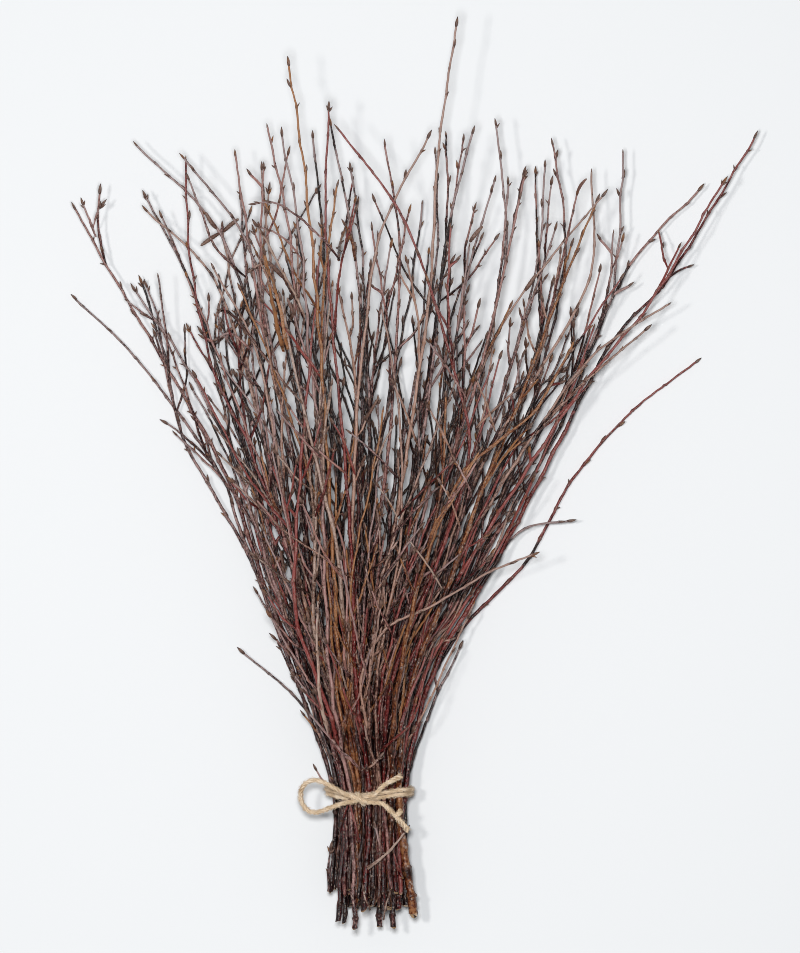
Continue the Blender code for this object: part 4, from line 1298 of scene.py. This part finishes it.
def bark_material(tone):
    """Young birch bark: lengthwise grain, pale film and pores, with buds and cut ends."""
    net = Wiring("birch_bark_" + tone)
    place = net.object_place()
    grain = net.attribute("grain")["Vector"]
    look = net.attribute("look")
    bud, cut, own = net.parts(look["Color"])
    way = look["Alpha"]

    broad = net.noise(place, *BROAD_NOISE)
    fine = net.noise(place, *FINE_NOISE)
    streaks = net.noise(net.stretched(grain, STREAK_STRETCH), *STREAK_NOISE)
    shade = net.times(own, OWN_WEIGHT, net.times(way, WAY_WEIGHT, SHADE_START))
    for part, weight in ((broad, BROAD_WEIGHT), (streaks, STREAK_WEIGHT), (fine, FINE_WEIGHT)):
        shade = net.times(part, weight, shade)
    bark = net.ramp(shade, tuple(zip(RAMP_PLACES, BARK[tone])))
    dry = net.threshold(net.noise(net.stretched(grain, DRY_STRETCH), *DRY_NOISE), *DRY_SPAN)
    bark = net.mix(net.times(dry, DRY_SHARE), bark, BARK[tone][2])
    # Painted reflection: the grey glare of the white surround, mixed in towards the thin ends.
    painted_glare = net.ramp(shade, tuple(zip(RAMP_PLACES, PAINTED_GLARE)))
    bark = net.mix(net.times(net.threshold(way, *PAINTED_GLARE_SPAN), PAINTED_GLARE_SHARE[tone]), bark, painted_glare)
    pores = pore_marks(net, grain)
    bark = net.mix(net.times(pores, PORE_SHARE), bark, PORE_COLOUR)

    covered = net.mix(bud, bark, bud_colour(net, way, own, fine))
    net.link(net.mix(cut, covered, net.mix(fine, *CUT_WOOD)), net.shader.inputs["Base Color"])
    net.link(net.spread(fine, *BARK_ROUGHNESS), net.shader.inputs["Roughness"])
    height = net.times(pores, 0.7, net.times(streaks, 1.2, net.times(fine, 0.8)))
    net.raise_surface(height, *BARK_BUMP)
    return net.finish(Specular_IOR_Level=0.5)


def jute_material():
    """Straw-coloured jute with darker fibres along the twist."""
    net = Wiring("jute_twine")
    place = net.object_place()
    broad = net.noise(place, *JUTE_BROAD_NOISE)
    fibres = net.noise(net.stretched(net.attribute("grain")["Vector"], FIBRE_STRETCH), *FIBRE_NOISE)
    specks = net.noise(place, *SPECK_NOISE)
    shade = net.times(broad, 0.30, net.times(fibres, 0.60, net.times(specks, 0.2, -0.04)))
    net.link(net.ramp(shade, JUTE), net.shader.inputs["Base Color"])
    net.raise_surface(fibres, *JUTE_BUMP)
    return net.finish(Roughness=0.85, Specular_IOR_Level=0.25, Sheen_Weight=0.2)


# Twine: its plies, their radius and distance from the middle as shares of its own radius, the length
# of one twist, loose fibres to a millimetre and at a frayed end, and the radius of the bow's pieces.
PLIES = 3
PLY_SHARE = 0.60
PLY_OFFSET_SHARE = 0.50
TWIST = 9.0
LOOSE_FIBRES = 9.0
FRAYED_FIBRES = 40
FRAY_SPREAD = 1.1
FIBRE_LENGTH = (1.0, 3.6)
FIBRE_REACH = 2.9
FIBRE_RADIUS = (0.045, 0.105)
LOOK_RADIUS = 1.25


def across_frame(line):
    """Two directions across a line at each of its points."""
    tangents = np.gradient(line, axis=0)
    tangents /= np.linalg.norm(tangents, axis=1)[:, None]
    side = np.cross(tangents, (0.05, 0.13, 1.0))
    weak = np.linalg.norm(side, axis=1) < 0.25
    side[weak] = np.cross(tangents[weak], (1.0, 0.1, 0.0))
    side /= np.linalg.norm(side, axis=1)[:, None]
    return tangents, side, np.cross(tangents, side)


def add_fibre(growth, middle, start, heading, rng):
    """A short loose fibre that stays close to the twine."""
    tip = start + heading * rng.uniform(*FIBRE_LENGTH)
    reach = min(np.linalg.norm(tip - middle), FIBRE_REACH)
    tip = middle + unit(tip - middle) * reach
    bend = np.array([rng.uniform(-0.4, 0.4) for _ in range(3)])
    thin = rng.uniform(*FIBRE_RADIUS)
    line = [start, (start + tip) / 2 + bend, tip]
    growth.tube(line, [thin, thin, thin * 0.6], 3, (0, 0, rng.random(), 1))


def add_twine(growth, path, radius, rng, frayed=False):
    """Twisted plies and short loose fibres along a path."""
    line, length = smooth_line(path, 0.8)
    run = np.linspace(0, length, len(line))
    tangents, side, other = across_frame(line)
    phase = run / TWIST * 2 * math.pi
    for number in range(PLIES):
        angle = phase + number * 2 * math.pi / PLIES
        around = np.cos(angle)[:, None] * side + np.sin(angle)[:, None] * other
        offset = radius * PLY_OFFSET_SHARE * np.ones(len(line))
        girth = radius * PLY_SHARE * (1 + 0.06 * np.sin(run * 1.9 + number * 2))
        if frayed:
            offset = offset * (1 + FRAY_SPREAD * (run / length) ** 3)
        growth.tube(line + around * offset[:, None], girth, SIDES_MAIN, (0, 0, rng.random(), 0))
    for _ in range(int(length * LOOSE_FIBRES)):
        index = rng.randrange(1, len(line) - 1)
        angle = rng.uniform(0, 2 * math.pi)
        out = math.cos(angle) * side[index] + math.sin(angle) * other[index]
        lean = rng.choice((-1, 1)) * rng.uniform(0.8, 3.0)
        start = line[index] + out * radius * 0.9
        add_fibre(growth, line[index], start, unit(tangents[index] * lean + out), rng)
    if frayed:
        for _ in range(FRAYED_FIBRES):
            across = side[-1] * rng.uniform(-1, 1) + other[-1] * rng.uniform(-1, 1)
            start = line[-3] + across * radius * 0.7
            add_fibre(growth, start, start, unit(tangents[-1] + across * 0.5), rng)


def dress_stems(lines, shoots_of, painted_cover_shade):
    """A detailed twig in place of every solid one."""
    paints = {tone: bark_material(tone) for tone in BARK}
    for number, stem in enumerate(STEMS):
        name, butt = stem[:2]
        tone = TONES.get(name) or tone_of(number, name.split("_")[0], stem[2])
        rng = random.Random(SEED * 100 + number)
        growth = Growth(painted_cover_shade)
        shade = SHADES.get(name, rng.random())
        sprigs = 3 if len(stem[4]) > 3 else 2
        add_twig(growth, lines[name], butt, END_MAIN, shade, rng, sprigs=sprigs, stub=name == STUB)
        for shoot in shoots_of[name]:
            add_twig(growth, lines[shoot], SHOOT_FOOT, END_SHOOT, shade, rng, main=False, sprigs=2,
                     cut=False)
        piece = growth.build("twig_" + name + "_bark", paints[tone])
        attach(piece, "root")
        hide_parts("twig_" + name)
    return paints


def dress_fill(stems, lines, paints, painted_cover_shade):
    """The thin fill twigs, joined by colour and side."""
    groups = {}
    for number, stem in enumerate(stems):
        rng = random.Random(SEED * 300 + number)
        side = ("left", "middle", "right")[min(2, number * 3 // FILL_COUNT)]
        # The low twigs get their near-black shade, partly painted shade for their depth.
        shade = rng.random() if number < FILL_COUNT else LOW_PAINTED_SHADE
        growth = groups.setdefault((side, tone_of(number, side, stem[2])), Growth(painted_cover_shade))
        add_twig(growth, lines[stem[0]], stem[1], END_FILL, shade, rng, sprigs=4)
    for (side, tone), growth in groups.items():
        piece = growth.build("thin_twigs_" + side + "_" + tone, paints[tone])
        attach(piece, "root")


class Heap:
    """The twigs laid so far, as dots with radii, to rest others on."""

    def __init__(self, lines, butts):
        dots = []
        for name, line in lines.items():
            dense, _ = smooth_line(line, HEAP_STEP)
            girths = butts[name] + (0.7 - butts[name]) * np.linspace(0, 1, len(dense)) ** TAPER_POWER
            dots.append(np.column_stack([dense, girths]))
        self.dots = np.vstack(dots)

    def nearest(self, x, y):
        """The place on a twig that is nearest as seen from above, the higher one of close ones."""
        away = np.hypot(self.dots[:, 0] - x, self.dots[:, 1] - y) - 0.03 * self.dots[:, 2]
        return self.dots[away.argmin(), :3]

    def rest(self, points, radius):
        """Lays a stiff line over the twigs under it."""
        flat = [(x, y, 0.0) for x, y in points]
        line, _ = smooth_line(flat, HEAP_STEP)
        base = np.full(len(line), radius + GROUND_GAP)
        for index, spot in enumerate(line):
            away = np.hypot(self.dots[:, 0] - spot[0], self.dots[:, 1] - spot[1])
            reach = self.dots[:, 3] + radius + REST_GAP
            under = away < reach
            if under.any():
                lift = np.sqrt(reach[under] ** 2 - away[under] ** 2)
                base[index] = max(base[index], (self.dots[under, 2] + lift).max())
        height = base.copy()
        for _ in range(REST_SWEEPS):
            middle = (height[:-2] + height[2:]) / 2
            height[1:-1] = np.maximum(base[1:-1], middle)
            height[0] = max(base[0], height[1])
            height[-1] = max(base[-1], height[-2])
        height[:ROOT_DIP] -= np.linspace(ROOT_DEPTH, 0, ROOT_DIP)[:len(height)]
        line[:, 2] = np.clip(height, base.min(), TOP_HEIGHT)
        self.dots = np.vstack([self.dots, np.column_stack([line, np.full(len(line), radius)])])
        return line


def stray_twigs(rng):
    """Short side twigs that lie askew over the dense part of the bundle."""
    strays = []
    for number in range(STRAY_COUNT):
        y = rng.uniform(*STRAY_REACH)
        left, right = edges_at(y)
        x = left + rng.uniform(*STRAY_SHARES) * (right - left)
        along_fan = math.atan2(x - NECK_X, y - TIE_Y)
        angle = along_fan + rng.choice((-1, 1)) * rng.uniform(*STRAY_TURN)
        length = rng.uniform(*STRAY_LENGTH)
        bend = rng.uniform(-STRAY_BEND, STRAY_BEND)
        points = []
        for part in STRAY_PARTS:
            turned = angle + bend * part
            points.append((x + math.sin(turned) * length * part, y + math.cos(turned) * length * part))
        strays.append((STRAY_TONES[number % len(STRAY_TONES)], rng.uniform(*STRAY_RADIUS), points))
    return strays


def dress_crossing(heap, paints):
    """Loose side twigs and catkins that lie over the bundle."""
    rng = random.Random(SEED * 700)
    groups = {}
    for tone, radius, points in CROSS_TWIGS + tuple(stray_twigs(random.Random(SEED * 900))):
        growth = groups.setdefault(tone, Growth())
        line = heap.rest(points, radius)
        add_twig(growth, line, radius, min(0.6, radius * 0.8), rng.random(), rng, main=False, sprigs=0,
                 cut=points[0][1] < TIE_Y, trim=False)
    for x, y, end_x, end_y in CATKINS:
        root = heap.nearest(x, y)
        reach = np.array((end_x, end_y, root[2] + 1.5)) - root
        add_catkin(groups["brown"], root, unit(reach), np.linalg.norm(reach), 1.45, rng)
    for tone, growth in groups.items():
        piece = growth.build("crossing_twigs_" + tone, paints[tone])
        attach(piece, "root")


def dress_twine(lines, widths):
    """Twisted jute in place of the plain twine solids."""
    paint = jute_material()
    rng = random.Random(SEED * 500)
    rings = [turn_line(lines, widths, TIE_Y + offset) for offset in TURN_OFFSETS]
    for number, ring in enumerate(rings):
        growth = Growth()
        add_twine(growth, np.vstack([ring, ring[:2]]), TURN_RADIUS, rng)
        piece = growth.build("twine_turn_%d_twist" % (number + 1), paint)
        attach(piece, "root")
        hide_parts("twine_turn_%d" % (number + 1))
    routes = bow_lines(rings)
    for name, line in routes.items():
        growth = Growth()
        if name == "knot":
            add_knot(growth, routes, rng)
        else:
            add_twine(growth, line, LOOK_RADIUS, rng, frayed=name.startswith("tail"))
        if name == "tail_lower":
            heel = line[4]
            strand = [heel, heel + (1.5, 2.0, 1.0), heel + (3.0, 3.6, 0.6)]
            add_twine(growth, strand, LOOK_RADIUS, rng, frayed=True)
        piece = growth.build("twine_" + name + "_twist", paint)
        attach(piece, "root")
        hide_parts("twine_" + name)


def add_knot(growth, routes, rng):
    """The crossing strands of the half bow and the turn that holds them."""
    loop, upper, lower = (routes[name] for name in ("loop", "tail_upper", "tail_lower"))
    crown = routes["knot"][:, 2].max()
    over = [loop[0], (-35.5, -191.6, crown + 0.6), (-31.0, -193.4, crown + 1.1),
            (-26.5, -194.8, crown + 0.6), lower[0]]
    under = [loop[-1], (-35.5, -194.6, crown - 0.6), (-31.0, -193.2, crown - 1.1),
             (-26.0, -191.6, crown - 0.6), upper[0]]
    for strand in (over, under):
        add_twine(growth, strand, LOOK_RADIUS, rng)
    turns = np.linspace(-0.1, 1.1, 12) * math.pi
    holding = [(-33.4 + 5.0 * k / 11, -193.2 + 3.2 * math.cos(a), crown - 1.8 + 2.9 * math.sin(a))
               for k, a in enumerate(turns)]
    add_twine(growth, holding, TURN_RADIUS, rng)


# Floor, light and camera, in metres: the photo has PICTURE_ROWS rows, each PIXEL high on the plane at
# PLANE_HEIGHT, and the bundle's middle lies in its own column beside the middle of the picture.
FLOOR_COLOUR = (0.83, 0.84, 0.85, 1)
WORLD_COLOUR = (0.965, 0.98, 1.0, 1)
WORLD_STRENGTH = 0.185
LIGHTS = (
    # name, place, width, power, colour
    ("key", (-0.66, 0.10, 2.6), 0.20, 13.5, (1.0, 0.985, 0.96)),
    ("softbox", (-0.07, 0.04, 2.4), 0.26, 33.0, (0.98, 0.99, 1.0)),
)
FLOOR_HALF = 6.0
CAMERA_HEIGHT = 5.0
PLANE_HEIGHT = 0.04
PIXEL = 0.0006
PICTURE_ROWS = 953
PICTURE_MIDDLE = 400
BUNDLE_COLUMN = 412
SENSOR_WIDTH = 36.0
CLIP_END = 50.0
FILTER_WIDTH = 0.9


def floor_material():
    """Plain pale studio surface."""
    made = bpy.data.materials.new("studio_floor")
    made.use_nodes = True
    shader = made.node_tree.nodes["Principled BSDF"]
    shader.inputs["Base Color"].default_value = FLOOR_COLOUR
    shader.inputs["Roughness"].default_value = 0.9
    shader.inputs["Specular IOR Level"].default_value = 0.1
    return made


def build_floor():
    """The surface that the bundle lies on."""
    mesh = bpy.data.meshes.new("floor")
    corners = [(x * FLOOR_HALF, y * FLOOR_HALF, 0) for x, y in ((-1, -1), (1, -1), (1, 1), (-1, 1))]
    mesh.from_pydata(corners, [], [(0, 1, 2, 3)])
    mesh.materials.append(floor_material())
    floor = bpy.data.objects.new("floor", mesh)
    bpy.context.scene.collection.objects.link(floor)


def add_light(name, place, size, power, colour):
    """A round soft light aimed at the middle of the bundle."""
    data = bpy.data.lights.new(name, "AREA")
    data.shape = "DISK"
    data.size = size
    data.energy = power
    data.color = colour
    light = bpy.data.objects.new(name, data)
    light.location = place
    light.rotation_euler = Vector(place).to_track_quat("Z", "Y").to_euler()
    light.visible_camera = False
    bpy.context.scene.collection.objects.link(light)


def light_scene():
    """Soft light from the upper left over an even white surround."""
    world = bpy.data.worlds.new("studio")
    bpy.context.scene.world = world
    world.use_nodes = True
    background = world.node_tree.nodes["Background"]
    background.inputs["Color"].default_value = WORLD_COLOUR
    background.inputs["Strength"].default_value = WORLD_STRENGTH
    for light in LIGHTS:
        add_light(*light)


def add_camera():
    """Straight above the bundle, with a long lens."""
    data = bpy.data.cameras.new("camera")
    data.sensor_width = SENSOR_WIDTH
    data.lens = data.sensor_width * (CAMERA_HEIGHT - PLANE_HEIGHT) / (PICTURE_ROWS * PIXEL)
    data.clip_end = CLIP_END
    camera = bpy.data.objects.new("camera", data)
    camera.location = ((PICTURE_MIDDLE - BUNDLE_COLUMN) * PIXEL, 0.0, CAMERA_HEIGHT)
    bpy.context.scene.collection.objects.link(camera)
    bpy.context.scene.camera = camera


def main():
    """Builds the scene on the frame."""
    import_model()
    add_camera()
    build_floor()
    light_scene()
    lines, widths, shoots_of = lay_out_twigs()
    stems, fill_lines = add_fill(lines, widths)
    # Painted shade for the twigs that lie deep in the bundle.
    painted_cover_shade = PaintedCoverShade(list(lines.values()) + list(fill_lines.values()))
    paints = dress_stems(lines, shoots_of, painted_cover_shade)
    dress_twine(lines, widths)
    dress_fill(stems, fill_lines, paints, painted_cover_shade)
    butts = {key: widths[key][0] for key in lines}
    butts.update({stem[0]: stem[1] for stem in stems})
    dress_crossing(Heap({**lines, **fill_lines}, butts), paints)
    bpy.context.scene.view_settings.view_transform = "Standard"
    bpy.context.scene.view_settings.look = "Medium High Contrast"
    bpy.context.scene.cycles.filter_width = FILTER_WIDTH
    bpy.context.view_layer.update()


main()
